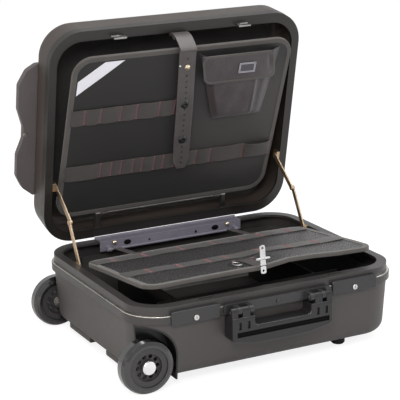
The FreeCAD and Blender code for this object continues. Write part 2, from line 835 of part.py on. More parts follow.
def wheel_core(side, label):
    """The hub, a web with round-ended windows between spokes, and the rim that the tyre sits on."""
    core = body(label)
    half = s.core_width / 2
    web = s.core_web_thickness / 2
    out = s.wheel_radius - s.tyre_depth
    inner = out - s.core_rim_thickness
    bore = s.bearing_radius + s.running_clearance
    turned(core, "core", [(bore, -half), (s.hub_radius, -half), (s.hub_radius, -web), (inner, -web),
                          (inner, -half),
                          (out, -half), (out, half), (inner, half), (inner, web), (s.hub_radius, web),
                          (s.hub_radius, half), (bore, half)])
    doc.recompute()
    middle = (s.hub_radius + inner) / 2
    reach = (inner - s.hub_radius) / 2 - s.core_rim_thickness / 5
    gap = middle * math.sin(math.pi / SPOKES) - s.spoke_width / 2
    window = prism(core, "window", "XZ", plate_of((middle - reach, middle + reach), (-gap, gap),
                                                  gap * WINDOW_CORNER_SHARE),
                   (-web - s.overrun, web + s.overrun), cut=True)
    pattern = core.newObject("PartDesign::PolarPattern", "windows")
    pattern.Originals = [window]
    axis = [feature for feature in core.Origin.OriginFeatures if feature.Role == "Y_Axis"][0]
    pattern.Axis = (axis, [""])
    pattern.Angle = 360
    pattern.Occurrences = SPOKES
    core.Tip = pattern
    return at_wheel(core, side)


def wheel_bushings(side):
    """Two bushings on the axle, which the hub turns on."""
    members = []
    half = s.core_width / 2
    inner = s.axle_radius + s.running_clearance
    for end in (-1, 1):
        ring = body("bushing")
        far = (half - s.clearance) * end
        close = far - s.bearing_width * end
        turned(ring, "ring", [(inner, close), (s.bearing_radius, close), (s.bearing_radius, far),
                              (inner, far)])
        members.append(ring)
    return at_wheel(group("bushing_pair", members), side)


def hub_cap(side, label):
    cap = body(label)
    low = s.core_width / 2 + s.clearance
    high = low + s.hub_cap_thickness
    edge = s.hub_cap_thickness / 3
    turned(cap, "cap", flipped(side, [(0, low), (s.hub_cap_radius, low), (s.hub_cap_radius, high - edge),
                                      (s.hub_cap_radius - edge, high), (0, high)]))
    return at_wheel(cap, side)


def wheel_axle(side):
    """A stub that is riveted into the housing's wall, with a collar beside the hub and its end under the cap."""
    axle = body("axle")
    wall = housing_y - wheel_y
    head = wall + s.clearance
    collar = wall + s.housing_wall + s.clearance
    stop = -s.core_width / 2 - s.clearance * 3
    end = s.core_width / 2 - s.clearance
    turned(axle, "bolt", flipped(side, [(0, head), (s.axle_radius, head), (s.axle_radius, collar),
                                        (s.hub_radius * BOSS_STEP_SHARE, collar),
                                        (s.hub_radius * BOSS_STEP_SHARE, stop),
                                        (s.axle_radius, stop), (s.axle_radius, end), (0, end)]))
    return at_wheel(axle, side)


def base_feet():
    members = []
    for side in (-1, 1):
        foot = body("foot")
        centre = (half_length - s.foot_inset_x, (half_width - s.foot_inset_y) * side)
        rod(foot, "post", "z", centre, s.foot_radius, (0, s.floor_clearance))
        soften(foot, "edge", s.foot_chamfer, at_level("z", 0), kind="Chamfer")
        members.append(foot)
    return in_base(group("feet", members))


def tube(name, side, width, height, wall, x):
    piece = body(name)
    y = mirrored(side, tube_y - width / 2, tube_y + width / 2)
    block(piece, "outside", x, y, (tube_z - height / 2, tube_z + height / 2))
    y = mirrored(side, tube_y - width / 2 + wall, tube_y + width / 2 - wall)
    block(piece, "bore", (x[0] - s.overrun, x[1] + s.overrun), y,
          (tube_z - height / 2 + wall, tube_z + height / 2 - wall), cut=True)
    return piece


def pull_tubes():
    """Two fixed outer tubes in the tunnels and the two inner tubes that slide out of them."""
    x = (tube_end - s.tube_length, tube_end - s.clearance)
    outer = [tube("outer_tube", side, s.tube_width, s.tube_height, s.tube_wall, x) for side in (-1, 1)]
    play = (s.tube_wall + s.clearance) * 2
    inner_x_span = (x[0] + s.tube_slack, half_length - s.overrun + s.clearance)
    inner = [tube("inner_tube", side, s.tube_width - play, s.tube_height - play, s.inner_tube_wall,
                  inner_x_span)
             for side in (-1, 1)]
    in_base(group("pull_tubes_outer", outer + tube_clamps()))
    in_base(group("pull_tubes_inner", inner))


def tube_clamps():
    """Thin plates that close the tunnels' grooves below the tubes."""
    members = []
    half = s.tube_width / 2
    top = tube_z - s.tube_height / 2 - s.clearance
    for side in (-1, 1):
        for share in CLAMP_PLACE_SHARES:
            clamp = body("clamp")
            middle = tube_end - s.tube_length * share
            block(clamp, "plate", (middle - s.clamp_length / 2, middle + s.clamp_length / 2),
                  mirrored(side, tube_y - half, tube_y + half), (top - s.clamp_thickness, top))
            members.append(clamp)
    return members


def pull_bezel():
    """The end piece that the inner tubes slide through."""
    bezel = body("pull_bezel")
    low = s.floor_clearance - s.ridge_depth
    half = s.bezel_width / 2
    x = (bezel_start, bezel_start + s.bezel_thickness)
    block(bezel, "bar", x, (-half, half), (low, low + s.bezel_height))
    soften(bezel, "edges", s.bezel_radius, along("y", lambda box: near(box.XMin, x[1])))
    play = (s.tube_wall + s.clearance) * 2
    for side in (-1, 1):
        width = s.tube_width - play + s.clearance * 2
        height = s.tube_height - play + s.clearance * 2
        block(bezel, "hole", (x[0] - s.overrun, x[1] + s.overrun),
              mirrored(side, tube_y - width / 2, tube_y + width / 2),
              (tube_z - height / 2, tube_z + height / 2), cut=True)
    return in_base(bezel)


grip_x = (half_length - s.overrun + s.clearance * 2, grip_out)
grip_z = (tube_z - s.grip_height / 2, tube_z + s.grip_height / 2)


def pull_grip():
    grip = body("pull_grip")
    half = s.grip_width / 2
    block(grip, "bar", grip_x, (-half, half), grip_z)
    soften(grip, "edges", s.grip_radius, along("y", lambda box: near(box.XMin, grip_x[1])))
    width = s.button_width / 2 + s.clearance
    height = s.button_height / 2 + s.clearance
    block(grip, "button_well", (grip_out - s.button_depth - s.button_travel, grip_out + s.overrun),
          (-width, width), (tube_z - height, tube_z + height), cut=True)
    return in_base(grip)


def pull_button():
    button = body("pull_button")
    half = s.button_width / 2
    x = (grip_out + s.button_proud - s.button_depth, grip_out + s.button_proud)
    block(button, "key", x, (-half, half), (tube_z - s.button_height / 2, tube_z + s.button_height / 2))
    soften(button, "edges", s.button_proud / 2, at_level("x", x[1]))
    return in_base(button)


def lock_plate(side):
    """The front housing of one lock, with the key cylinder's hole."""
    plate = body("lock_plate")
    x = mirrored(side, s.lock_centre - s.lock_width / 2, s.lock_centre + s.lock_width / 2)
    y = (-half_width - s.clearance - s.lock_depth, -half_width - s.clearance)
    prism(plate, "plate", "XZ", plate_of(x, (s.lock_bottom, s.lock_bottom + s.lock_height), s.lock_radius), y)
    soften(plate, "edge", s.lock_radius / 3, at_level("y", y[0]), kind="Chamfer")
    rod(plate, "key_hole", "y", (s.lock_centre * side, s.key_height), s.key_radius + s.clearance,
        (y[0] - s.overrun, y[1] + s.overrun), cut=True)
    return in_base(plate)


key_back = half_width + s.clearance + s.lock_depth + s.key_proud - s.key_depth


def key_cylinder(side, label):
    """The cylinder with its keyway, and a crank pin behind it that drives the bolt."""
    cylinder = body(label)
    front = half_width + s.clearance + s.lock_depth + s.key_proud
    centre = (s.lock_centre * side, s.key_height)
    rod(cylinder, "barrel", "y", centre, s.key_radius, (-front, -key_back))
    soften(cylinder, "edge", s.key_proud / 4, at_level("y", -front), kind="Chamfer")
    x = (s.lock_centre * side - s.keyway_width / 2, s.lock_centre * side + s.keyway_width / 2)
    block(cylinder, "keyway", x, (-front - s.overrun, s.keyway_depth - front),
          (s.key_height - s.keyway_height / 2, s.key_height + s.keyway_height / 2), cut=True)
    swing = s.crank_radius * math.sqrt(0.5)
    web = s.bolt_thickness / 2
    reach = swing + s.crank_pin_radius
    cheek = mirrored(side, s.lock_centre - s.crank_pin_radius, s.lock_centre + reach)
    block(cylinder, "crank", cheek, (-key_back - s.overrun / 5, web - key_back),
          (s.key_height - s.crank_pin_radius, s.key_height + reach))
    pin = ((s.lock_centre + swing) * side, s.key_height + swing)
    rod(cylinder, "crank_pin", "y", pin, s.crank_pin_radius, (-key_back, s.bolt_thickness / 2 - bolt_y))
    return in_base(cylinder)


def latch_bolt(side, label):
    """The bolt: a plate with an upright slot for the crank pin and a tongue that enters the striker."""
    bolt = body(label)
    swing = s.crank_radius * math.sqrt(0.5)
    middle = s.lock_centre + swing
    top = s.rim_plane - s.rim_flange_thickness - s.clearance
    low = s.key_height + swing - s.crank_pin_radius - s.clearance * 5
    left = middle - s.bolt_width / 2
    right = middle + s.bolt_width / 2
    tip = left - s.bolt_tongue
    corners = [(left, low), (right, low), (right, top), (tip, top), (tip, top - s.bolt_height),
               (left, top - s.bolt_height)]
    y = (-bolt_y - s.bolt_thickness / 2, s.bolt_thickness / 2 - bolt_y)
    prism(bolt, "plate", "XZ", shape_of(*[(x * side, z) for x, z in corners]), y)
    slot = s.crank_pin_radius + s.crank_slot_clearance
    slot_top = s.key_height + s.crank_radius + s.crank_pin_radius + s.crank_slot_clearance
    block(bolt, "slot", mirrored(side, middle - slot, middle + slot), (y[0] - s.overrun, y[1] + s.overrun),
          (low + s.clearance * 3, slot_top), cut=True)
    return in_base(bolt)


def handle_mount():
    """The plate on the front of the rim with four lugs for the carry handle's pins."""
    mount = body("handle_mount")
    back = -half_width - s.rim_band_overhang - s.clearance
    front = back - s.mount_thickness
    low = s.handle_pivot_height - s.mount_height * 0.4
    prism(mount, "plate", "XZ", plate_of((-s.mount_half_width, s.mount_half_width),
                                         (low, low + s.mount_height), s.mount_radius), (front, back))
    pivot = -handle_y
    for side in (-1, 1):
        for x in lug_spans(side):
            rod(mount, "lug", "x", (pivot, s.handle_pivot_height), s.handle_knuckle, x)
            block(mount, "lug_root", x, (pivot, back),
                  (s.handle_pivot_height - s.handle_knuckle * LUG_UNDER_SHARE,
                   s.handle_pivot_height + s.handle_knuckle))
            rod(mount, "pin_hole", "x", (pivot, s.handle_pivot_height),
                s.handle_pin_radius + s.running_clearance, (x[0] - s.clearance, x[1] + s.clearance), cut=True)
    return in_base(mount)


def lug_spans(side):
    """Each ear has one lug at its inner end and one in its middle."""
    inner = s.handle_inner + s.clearance * 3
    middle = (s.handle_inner + s.handle_half_width) / 2 + s.lug_width / 4
    return [mirrored(side, inner, inner + s.lug_width), mirrored(side, middle, middle + s.lug_width)]


def carry_handle():
    """The bail: two ears with knuckles, a drooping grip, grooves in the ears and a groove for the insert."""
    handle = body("carry_handle")
    half = s.handle_half_width
    bottom = s.handle_ear_bottom
    back = -half_width - s.clearance
    front = back - s.handle_depth
    waist = half * DROOP_PLACE_SHARE
    droop = s.handle_droop * DROOP_DEPTH_SHARE
    corners = [(-half, s.handle_top), (-half, bottom), (-waist, bottom - droop),
               (0, bottom - s.handle_droop), (waist, bottom - droop), (half, bottom), (half, s.handle_top)]
    prism(handle, "bail", "XZ", shape_of(*corners), (front, back))
    inner = s.handle_inner
    opening = plate_of((-inner, inner), (s.handle_grip_top, s.handle_top + s.handle_corner * 3),
                       s.handle_corner)
    prism(handle, "opening", "XZ", opening, (front - s.overrun, back + s.overrun), cut=True)
    soften(handle, "corners", s.handle_corner,
           along("y", lambda box: near(abs(box.XMin), half) and near(box.ZMin, bottom)))
    soften(handle, "front_edge", s.handle_edge, at_level("y", front))
    pivot = (-handle_y, s.handle_pivot_height)
    for side in (-1, 1):
        for x in knuckle_spans(side):
            rod(handle, "knuckle", "x", pivot, s.handle_knuckle, x)
            block(handle, "knuckle_root", x, (-handle_y - s.handle_knuckle, s.handle_knuckle - handle_y),
                  (s.handle_top - s.handle_edge, s.handle_pivot_height))
            rod(handle, "pin_hole", "x", pivot, s.handle_pin_radius + s.running_clearance,
                (x[0] - s.overrun / 5, x[1] + s.overrun / 5), cut=True)
        for share in EAR_GROOVE_SHARES:
            middle = inner + (half - inner) * share
            x = mirrored(side, middle - s.ear_groove_width / 2, middle + s.ear_groove_width / 2)
            block(handle, "ear_groove", x, (front - s.overrun, front + s.ear_groove_depth),
                  (s.handle_grip_top - s.handle_corner / 2, s.handle_top - s.handle_edge * 2), cut=True)
    wide = s.insert_half_width + s.clearance
    z = (s.insert_bottom - s.clearance, s.insert_bottom + s.insert_height + s.clearance)
    block(handle, "insert_groove", (-wide, wide), (front - s.overrun, front + s.insert_depth + s.clearance),
          z,
          cut=True)
    return in_base(handle)


def knuckle_spans(side):
    """The handle's knuckles fill the places beside the lugs."""
    first, second = lug_spans(1)
    inner = (first[1] + s.clearance * 2, second[0] - s.clearance * 2)
    outer = (second[1] + s.clearance * 2, s.handle_half_width - s.clearance)
    return [mirrored(side, *inner), mirrored(side, *outer)]


def handle_insert():
    insert = body("handle_insert")
    front = -half_width - s.clearance - s.handle_depth
    block(insert, "strip", (-s.insert_half_width, s.insert_half_width),
          (front + s.clearance * 4, front + s.insert_depth),
          (s.insert_bottom, s.insert_bottom + s.insert_height))
    return in_base(insert)


def handle_pins():
    members = []
    for side in (-1, 1):
        pin = body("handle_pin")
        first = lug_spans(1)[0]
        rod(pin, "pin", "x", (-handle_y, s.handle_pivot_height), s.handle_pin_radius,
            mirrored(side, first[0] - s.clearance, s.handle_half_width - s.clearance))
        members.append(pin)
    return in_base(group("handle_pins", members))


def screw(name, axis, centre, face, out):
    """A low round screw head standing on a face; out is the side that it stands out on."""
    head = body(name)
    span = (face, face + s.screw_head) if out > 0 else (face - s.screw_head, face)
    rod(head, "head", axis, centre, s.screw_radius, span)
    soften(head, "edge", s.screw_head / 3, at_level(axis, span[1] if out > 0 else span[0]))
    return head


def handle_screw():
    face = -half_width - s.rim_band_overhang - s.clearance - s.mount_thickness
    return in_base(screw("handle_screw", "y", (0, s.handle_pivot_height), face, -1))


hinge_step = s.hinge_half_length * 2 / KNUCKLES


def hinge_leaf(label, numbers, up, y_edge, seat):
    """One hinge leaf about an axis at the origin: a web towards -Y and knuckles at the given places."""
    leaf = body(label)
    half = s.hinge_half_length
    web = (up * (s.clearance + s.hinge_leaf), up * s.clearance) if up < 0 else (up * s.clearance,
                                                                               up * (s.clearance + s.hinge_leaf))
    start = s.hinge_knuckle + s.clearance * 2
    block(leaf, "web", (-half, half), (-y_edge, -start), web)
    for number in numbers:
        x = (hinge_step * number - half + s.clearance, hinge_step * (number + 1) - half - s.clearance)
        block(leaf, "tab", x, (-start - s.overrun / 5, 0), web)
        rod(leaf, "knuckle", "x", (0, 0), s.hinge_knuckle, x)
    if seat is not None:
        seat(leaf)
    for number in numbers:
        x = (hinge_step * number - half - s.clearance, hinge_step * (number + 1) - half + s.clearance)
        rod(leaf, "bore", "x", (0, 0), s.hinge_pin_radius + s.running_clearance, x, cut=True)
    return leaf


def base_hinge_leaf():
    """The leaf that bends over the rim and lies on the inside of the back wall."""
    edge = hinge_y - inner_y + s.hinge_leaf + s.clearance

    def seat(leaf):
        half = s.hinge_half_length
        z = (-s.hinge_drop, -s.clearance)
        block(leaf, "wall_plate", (-half, half), (-edge, s.hinge_leaf - edge), z)
        for side in (-1, 1):
            rod(leaf, "hole", "y", (s.hinge_hole_place * side, -s.hinge_drop / 2 + s.hinge_leaf),
                s.hinge_hole_radius, (-edge - s.overrun, s.overrun - edge), cut=True)
            x = mirrored(side, s.bracket_place - s.bracket_width / 2, s.bracket_place + s.bracket_width / 2)
            rod_y = s.base_rod_y - hinge_y
            rod_z = s.base_rod_height - s.rim_plane
            block(leaf, "bracket", x, (rod_y, s.hinge_leaf - edge),
                  (rod_z - s.eye_radius, rod_z + s.eye_radius))
            rod(leaf, "bracket_end", "x", (rod_y, rod_z), s.eye_radius, x)
            rod(leaf, "rod_hole", "x", (rod_y, rod_z), s.rod_radius + s.running_clearance,
                (x[0] - s.clearance, x[1] + s.clearance), cut=True)
    leaf = hinge_leaf("base_leaf", range(0, KNUCKLES, 2), -1, edge, seat)
    locate(leaf, frame_x, frame_y + hinge_y, s.rim_plane)
    return group("base_hinge_leaf", [leaf, hinge_pin(), in_base_panel(panel_rod())])


def lid_hinge_leaf():
    """The leaf that lies on the lid's rim."""
    leaf = hinge_leaf("lid_hinge_leaf", range(1, KNUCKLES, 2), -1,
                      hinge_offset + s.rim_flange_front - s.clearance,
                      None)
    locate(leaf, frame_x, frame_y + hinge_y, s.rim_plane, 180 - s.lid_angle)
    return leaf


def hinge_pin():
    pin = body("pin_of_hinge")
    half = s.hinge_half_length
    rod(pin, "pin", "x", (hinge_y, s.rim_plane), s.hinge_pin_radius, (-half, half))
    return in_base(pin)


def hinge_screws():
    """Two screws through the hinge's wall plate."""
    face = inner_y - s.hinge_leaf - s.clearance
    height = s.rim_plane - s.clearance * 20
    return [in_base(screw("hinge_screw", "y", (s.hinge_screw_place * side, height), face,
                          -1)) for side in (-1, 1)]


stay_base = (float(s.stay_base_y), float(s.rim_plane - s.stay_base_drop))
stay_x = inner_x - s.clearance
bracket_thickness = s.stay_thickness * 1.7
lower_plane = stay_x - bracket_thickness - s.stay_gap - s.stay_thickness
upper_plane = lower_plane - s.stay_gap - s.stay_thickness


def stay_geometry():
    """The lid's pivot, the middle pivot and the two links' directions in the open pose, in the YZ plane."""
    theta = math.radians(float(s.lid_angle))
    out, deep = float(s.stay_lid_out), float(s.stay_lid_depth)
    lid = (float(hinge_y) - out * math.cos(theta) + deep * math.sin(theta),
           float(s.rim_plane) + out * math.sin(theta) + deep * math.cos(theta))
    chord = (lid[0] - stay_base[0], lid[1] - stay_base[1])
    length = math.hypot(*chord)
    bend = math.acos(min(1.0, length / 2 / float(s.stay_link)))
    lean = math.atan2(chord[1], chord[0])
    lower = math.degrees(lean + bend)
    upper = math.degrees(lean - bend) + 180
    return lid, lower, upper


def stay_link(side, label, plane, hole_radius):
    """A flat link with round ends that reaches from the origin along +Y, and its rivet towards the wall."""
    link = body(label)
    half = s.stay_width / 2
    x = mirrored(side, plane, plane + s.stay_thickness)
    prism(link, "link", "YZ", plate_of((-half, s.stay_link + half), (-half, half), half * LINK_END_SHARE), x)
    rod(link, "hole", "x", (0, 0), hole_radius, (x[0] - s.overrun / 5, x[1] + s.overrun / 5), cut=True)
    return link


def stays():
    """Both folding stays; the rivet in the middle is shared out between the links' facing away sides."""
    lid, lower, upper = stay_geometry()
    base_members, lid_members, lower_links, upper_links = [], [], [], []
    hole = s.stay_pin_radius + s.running_clearance
    for side in (-1, 1):
        low = stay_link(side, "lower_link", lower_plane, hole)
        stud_x = mirrored(side, lower_plane + s.stay_thickness - s.clearance,
                          lower_plane + s.stay_thickness + s.stay_thickness / 2)
        rod(low, "stud", "x", (s.stay_link, 0), s.stay_width / 2 * PIN_HEAD_SHARE, stud_x)
        low.Placement = Placement(Vector(0, 0, 0), Rotation(Vector(1, 0, 0), lower))
        bind(low, "Placement.Base.x", frame_x)
        bind(low, "Placement.Base.y", frame_y + s.stay_base_y)
        bind(low, "Placement.Base.z", s.rim_plane - s.stay_base_drop)
        high = stay_link(side, "upper_link", upper_plane, hole)
        stud_x = mirrored(side, upper_plane - s.stay_thickness / 2, upper_plane + s.clearance)
        rod(high, "stud", "x", (s.stay_link, 0), s.stay_width / 2 * PIN_HEAD_SHARE, stud_x)
        high.Placement = Placement(Vector(float(frame_x), float(frame_y) + lid[0], lid[1]),
                                   Rotation(Vector(1, 0, 0), upper))
        lower_links.append(low)
        upper_links.append(high)
        base_members.append(stay_bracket(side, "base", lower_plane))
        lid_members.append(stay_bracket(side, "lid", upper_plane))
    group("stay_lower_links", lower_links)
    group("stay_upper_links", upper_links)
    in_base(group("stay_brackets_base", base_members))
    in_lid(group("stay_brackets_lid", lid_members))


def stay_bracket(side, where, plane):
    """A plate beside the rim's inner edge with the pin that a link turns on."""
    bracket = body("stay_bracket_" + where)
    half = s.stay_bracket / 2
    x = mirrored(side, plane + s.stay_thickness + s.stay_gap, stay_x)
    if where == "base":
        centre = (s.stay_base_y, s.rim_plane - s.stay_base_drop)
        y = (centre[0] - half, centre[0] + half)
        z = (centre[1] - half / 2, s.rim_plane - s.clearance)
    else:
        centre = (s.stay_lid_out, -s.stay_lid_depth)
        y = (centre[0] - half * BRACKET_EAR_SHARE, centre[0] + half * BRACKET_EAR_SHARE)
        z = (-s.stay_lid_depth - half, -s.rim_gap - s.clearance)
    block(bracket, "plate", x, y, z)
    pin_x = mirrored(side, plane, plane + s.stay_thickness + s.stay_gap + s.clearance)
    rod(bracket, "pin", "x", centre, s.stay_pin_radius, pin_x)
    return bracket


def ring_frame(piece, width, height, radius, z, bottom=0):
    """A binding round a panel that reaches from the bottom line by its height."""
    half = width / 2
    prism(piece, "outside", "XY", plate_of((-half, half), (bottom, bottom + height), radius), z)
    inset = s.binding_width
    prism(piece, "inside", "XY", plate_of((inset - half, half - inset),
                                          (bottom + inset, bottom + height - inset),
                                          radius - inset), (z[0] - s.overrun, z[1] + s.overrun), cut=True)


panel_front = s.panel_thickness * 0.66
panel_back = panel_front - s.panel_thickness


def lid_panel():
    """The lid's tool panel: the board, its binding and what it carries."""
    gap = s.eye_radius + s.clearance * 2
    inset = s.binding_width + s.clearance / 2
    board = body("lid_panel_board")
    half = lid_panel_width / 2
    height = lid_panel_height - gap
    prism(board, "board", "XY", plate_of((inset - half, half - inset),
                                         (gap + inset, lid_panel_height - inset),
                                         s.lid_panel_radius - inset), (panel_back, panel_front))
    in_lid_panel(board)
    in_lid_panel(group("lid_panel_eyes", panel_eyes(1, gap)))
    binding = body("lid_panel_binding")
    ring_frame(binding, lid_panel_width, height, s.lid_panel_radius,
               (panel_back - s.binding_lip, panel_front + s.binding_lip), gap)
    in_lid_panel(binding)


def panel_eyes(direction, gap):
    """The two eyes that hold a panel to its rod."""
    members = []
    for side in (-1, 1):
        eye = body("panel_eye")
        x = mirrored(side, s.tab_place - s.tab_width / 2, s.tab_place + s.tab_width / 2)
        end = gap - s.clearance * 2
        reach = (0, end) if direction > 0 else (-end, 0)
        block(eye, "strap", x, reach, (-s.tab_thickness / 2, s.tab_thickness / 2))
        rod(eye, "eye", "x", (0, 0), s.eye_radius, x)
        rod(eye, "eye_hole", "x", (0, 0), s.rod_radius + s.running_clearance,
            (x[0] - s.clearance, x[1] + s.clearance), cut=True)
        members.append(eye)
    return members


def panel_rod():
    piece = body("panel_rod")
    rod(piece, "rod", "x", (0, 0), s.rod_radius, (-s.rod_half_length, s.rod_half_length))
    return piece


def lid_panel_mount():
    """The panel's rod in two brackets on the lid's lower wall."""
    members = [in_lid_panel(panel_rod())]
    for side in (-1, 1):
        bracket = body("rod_bracket")
        x = mirrored(side, s.bracket_place - s.bracket_width / 2, s.bracket_place + s.bracket_width / 2)
        y = (hinge_offset + s.rim_wall + s.shell_wall, s.lid_panel_out)
        z = (-s.lid_panel_depth - s.eye_radius, s.eye_radius - s.lid_panel_depth)
        block(bracket, "post", x, y, z)
        rod(bracket, "post_end", "x", (s.lid_panel_out, -s.lid_panel_depth), s.eye_radius, x)
        rod(bracket, "rod_hole", "x", (s.lid_panel_out, -s.lid_panel_depth),
            s.rod_radius + s.running_clearance,
            (x[0] - s.clearance, x[1] + s.clearance), cut=True)
        members.append(in_lid(bracket))
    return group("lid_panel_mount", members)


def elastic_row(shares, low):
    """A band sewn down at its stitches, with a loop that stands off the panel between each two."""
    row = body("elastic_row")
    half = lid_panel_width / 2
    face = panel_front + s.clearance
    thick = s.elastic_thickness
    front, back = [], []
    for number, share in enumerate(shares):
        front.append((half * share, face + thick))
        back.append((half * share, face))
        if number + 1 < len(shares):
            far = shares[number + 1]
            bulge = s.elastic_bulge * min(1.0, (far - share) * BULGE_SLOPE_SHARE)
            for part in BULGE_PLACE_SHARES:
                height = bulge * (1.0 if part == BULGE_PLACE_SHARES[1] else BULGE_SIDE_SHARE)
                x = half * (share + (far - share) * part)
                front.append((x, face + thick + height))
                back.append((x, face + height))
    high = low + s.elastic_height
    prism(row, "band", "XZ", shape_of(*(front + back[::-1])), (low, high))
    return in_lid_panel(row)


def corner_label():
    label = body("corner_label")
    half = lid_panel_width / 2
    face = panel_front + s.clearance
    points = [(half * x, lid_panel_height * y) for x, y in LABEL_SHARES]
    prism(label, "label", "XY", shape_of(*points), (face, face + s.label_thickness))
    return in_lid_panel(label)


def pocket():
    """The tapered pocket, its flap and the bare plate on the flap."""
    half = lid_panel_width / 2
    face = panel_front + s.clearance
    points = [(half * x, lid_panel_height * y) for x, y in POCKET_SHARES]
    pouch = body("pocket_body")
    prism(pouch, "pouch", "XY", shape_of(*points), (face, face + s.pocket_depth))
    soften(pouch, "edges", s.pocket_depth / 3, at_level("z", face + s.pocket_depth))
    low_y = points[0][1] + s.pocket_wall * 4
    mouth = [(points[0][0] + s.pocket_wall * 3, low_y), (points[1][0] - s.pocket_wall * 3, low_y),
             (points[2][0] - s.pocket_wall * 3, points[2][1] + s.overrun * 2),
             (points[3][0] + s.pocket_wall * 3, points[3][1] + s.overrun * 2)]
    prism(pouch, "space", "XY", shape_of(*mouth), (face + s.pocket_wall,
                                                   face + s.pocket_depth - s.pocket_wall),
          cut=True)
    in_lid_panel(pouch)
    flap = body("pocket_flap")
    top = lid_panel_height * POCKET_SHARES[3][1]
    x = (half * FLAP_SHARE[0], half * FLAP_SHARE[1])
    low = face + s.pocket_depth + s.clearance
    prism(flap, "flap", "XY", plate_of(x, (top - s.flap_drop, top + s.flap_thickness), s.flap_radius),
          (low, low + s.flap_thickness))
    in_lid_panel(flap)
    plate = body("pocket_plate")
    x = (half * POCKET_PLATE_SHARES[0], half * POCKET_PLATE_SHARES[1])
    y = tuple(top - s.flap_drop * share for share in PLATE_PLACE_SHARES)
    base = low + s.flap_thickness + s.clearance / 3
    prism(plate, "plate", "XY", plate_of(x, y, s.flap_radius / 8), (base, base + s.plate_thickness))
    in_lid_panel(plate)


def panel_strap():
    """The holding strap on the panel, its eyelets and studs, and the stretch that reaches the lid's rim."""
    half = lid_panel_width / 2
    top_x, low_x = (half * share for share in STRAP_PLACE_SHARE)
    wide = s.strap_width / 2
    face = panel_front + s.binding_lip + s.strap_lift
    tip = s.strap_tip
    strap = body("panel_strap")
    points = [(top_x - wide, lid_panel_height), (low_x - wide, tip + wide), (low_x - wide / 2, tip),
              (low_x + wide / 2, tip), (low_x + wide, tip + wide), (top_x + wide, lid_panel_height)]
    prism(strap, "strap", "XY", shape_of(*points), (face, face + s.strap_thickness))
    eyelets = []
    for share in EYELET_PLACES_SHARE:
        x, y = strap_place(share, top_x, low_x)
        rod(strap, "hole", "z", (x, y), s.eyelet_radius - s.clearance * 4,
            (face - s.overrun, face + s.overrun),
            cut=True)
        eyelet = body("eyelet")
        rod(eyelet, "barrel", "z", (x, y), s.eyelet_radius - s.clearance * 5,
            (face - s.clearance, face + s.strap_thickness + s.clearance))
        rod(eyelet, "flange", "z", (x, y), s.eyelet_radius,
            (face + s.strap_thickness + s.clearance / 3, face + s.strap_thickness + s.clearance * 3))
        rod(eyelet, "hole", "z", (x, y), s.eyelet_hole, (face - s.overrun, face + s.overrun * 2), cut=True)
        eyelets.append(eyelet)
    in_lid_panel(strap)
    x, y = strap_place(STRAP_STUD_PLACE_SHARE, top_x, low_x)
    stud = body("stud")
    base = face + s.strap_thickness + s.clearance / 3
    rod(stud, "cap", "z", (x, y), s.stud_radius, (base, base + s.stud_height))
    soften(stud, "edge", s.stud_height / 2, at_level("z", base + s.stud_height))
    in_lid_panel(group("strap_studs", eyelets + [stud]))
    bridge = body("strap_bridge")
    lean = s.lid_panel_lean
    edge_y = s.lid_panel_out + lid_panel_height * lean.cos() - (face + s.strap_thickness) * lean.sin()
    edge_z = lid_panel_height * lean.sin() + face * lean.cos() - s.lid_panel_depth
    rim_y = hinge_offset + s.rim_width - s.rim_flange_front - s.clearance * 2
    rim_z = -s.rim_gap - s.rim_flange_thickness / 2
    t = s.strap_thickness
    near_up, mid_up, far_up, high_up = (t * share for share in BRIDGE_UP_SHARES)
    points = [(rim_y, rim_z - t), (rim_y, rim_z), (edge_y + t * 2, edge_z + high_up),
              (edge_y, edge_z + mid_up),
              (edge_y + near_up, edge_z + t * BRIDGE_LOW_SHARE), (edge_y + far_up, edge_z + t),
              (rim_y - t, rim_z - t)]
    prism(bridge, "bridge", "YZ", shape_of(*points), (top_x - wide, top_x + wide))
    in_lid(bridge)


def strap_place(share, top_x, low_x):
    """A point on the strap's middle line at a share of the panel's height."""
    tip_share = s.strap_tip / lid_panel_height
    x = low_x + (top_x - low_x) * ((size(share) - tip_share) / (1 - tip_share))
    return x, lid_panel_height * share


def base_panel():
    """The base's tool panel, its binding, two bands, hinge straps, clasp and clasp strap."""
    top = s.base_panel_rise
    low = top - s.panel_thickness - s.binding_lip * 2
    length = base_panel_far - s.base_panel_near
    inset = s.binding_width + s.clearance / 2
    half = base_panel_width / 2
    board = body("base_panel_board")
    y = (-base_panel_far + inset, -s.base_panel_near - inset)
    board_z = (low + s.binding_lip, top - s.binding_lip)
    prism(board, "board", "XY", plate_of((inset - half, half - inset), y, s.base_panel_radius - inset),
          board_z)
    in_base_panel(board)
    binding = body("base_panel_binding")
    ring_frame(binding, base_panel_width, length, s.base_panel_radius, (low, top), -base_panel_far)
    in_base_panel(binding)
    bands = []
    for number in range(2):
        band = body("tool_band")
        middle = s.band_inset - base_panel_far + s.band_step * number
        band_z = (board_z[1] + s.clearance / 3, board_z[1] + s.band_thickness)
        prism(band, "band", "XY", plate_of((inset - half, half - inset), y, s.base_panel_radius - inset),
              band_z)
        past_z = (low - s.overrun, top + s.overrun)
        block(band, "front", (-half, half), (-base_panel_far, middle - s.band_width / 2), past_z, cut=True)
        block(band, "back", (-half, half), (middle + s.band_width / 2, -s.base_panel_near), past_z, cut=True)
        bands.append(band)
    in_base_panel(group("base_panel_straps", panel_eyes(-1, s.base_panel_near + s.clearance)))
    in_base_panel(group("base_panel_bands", bands + [clasp(board_z, top)]))


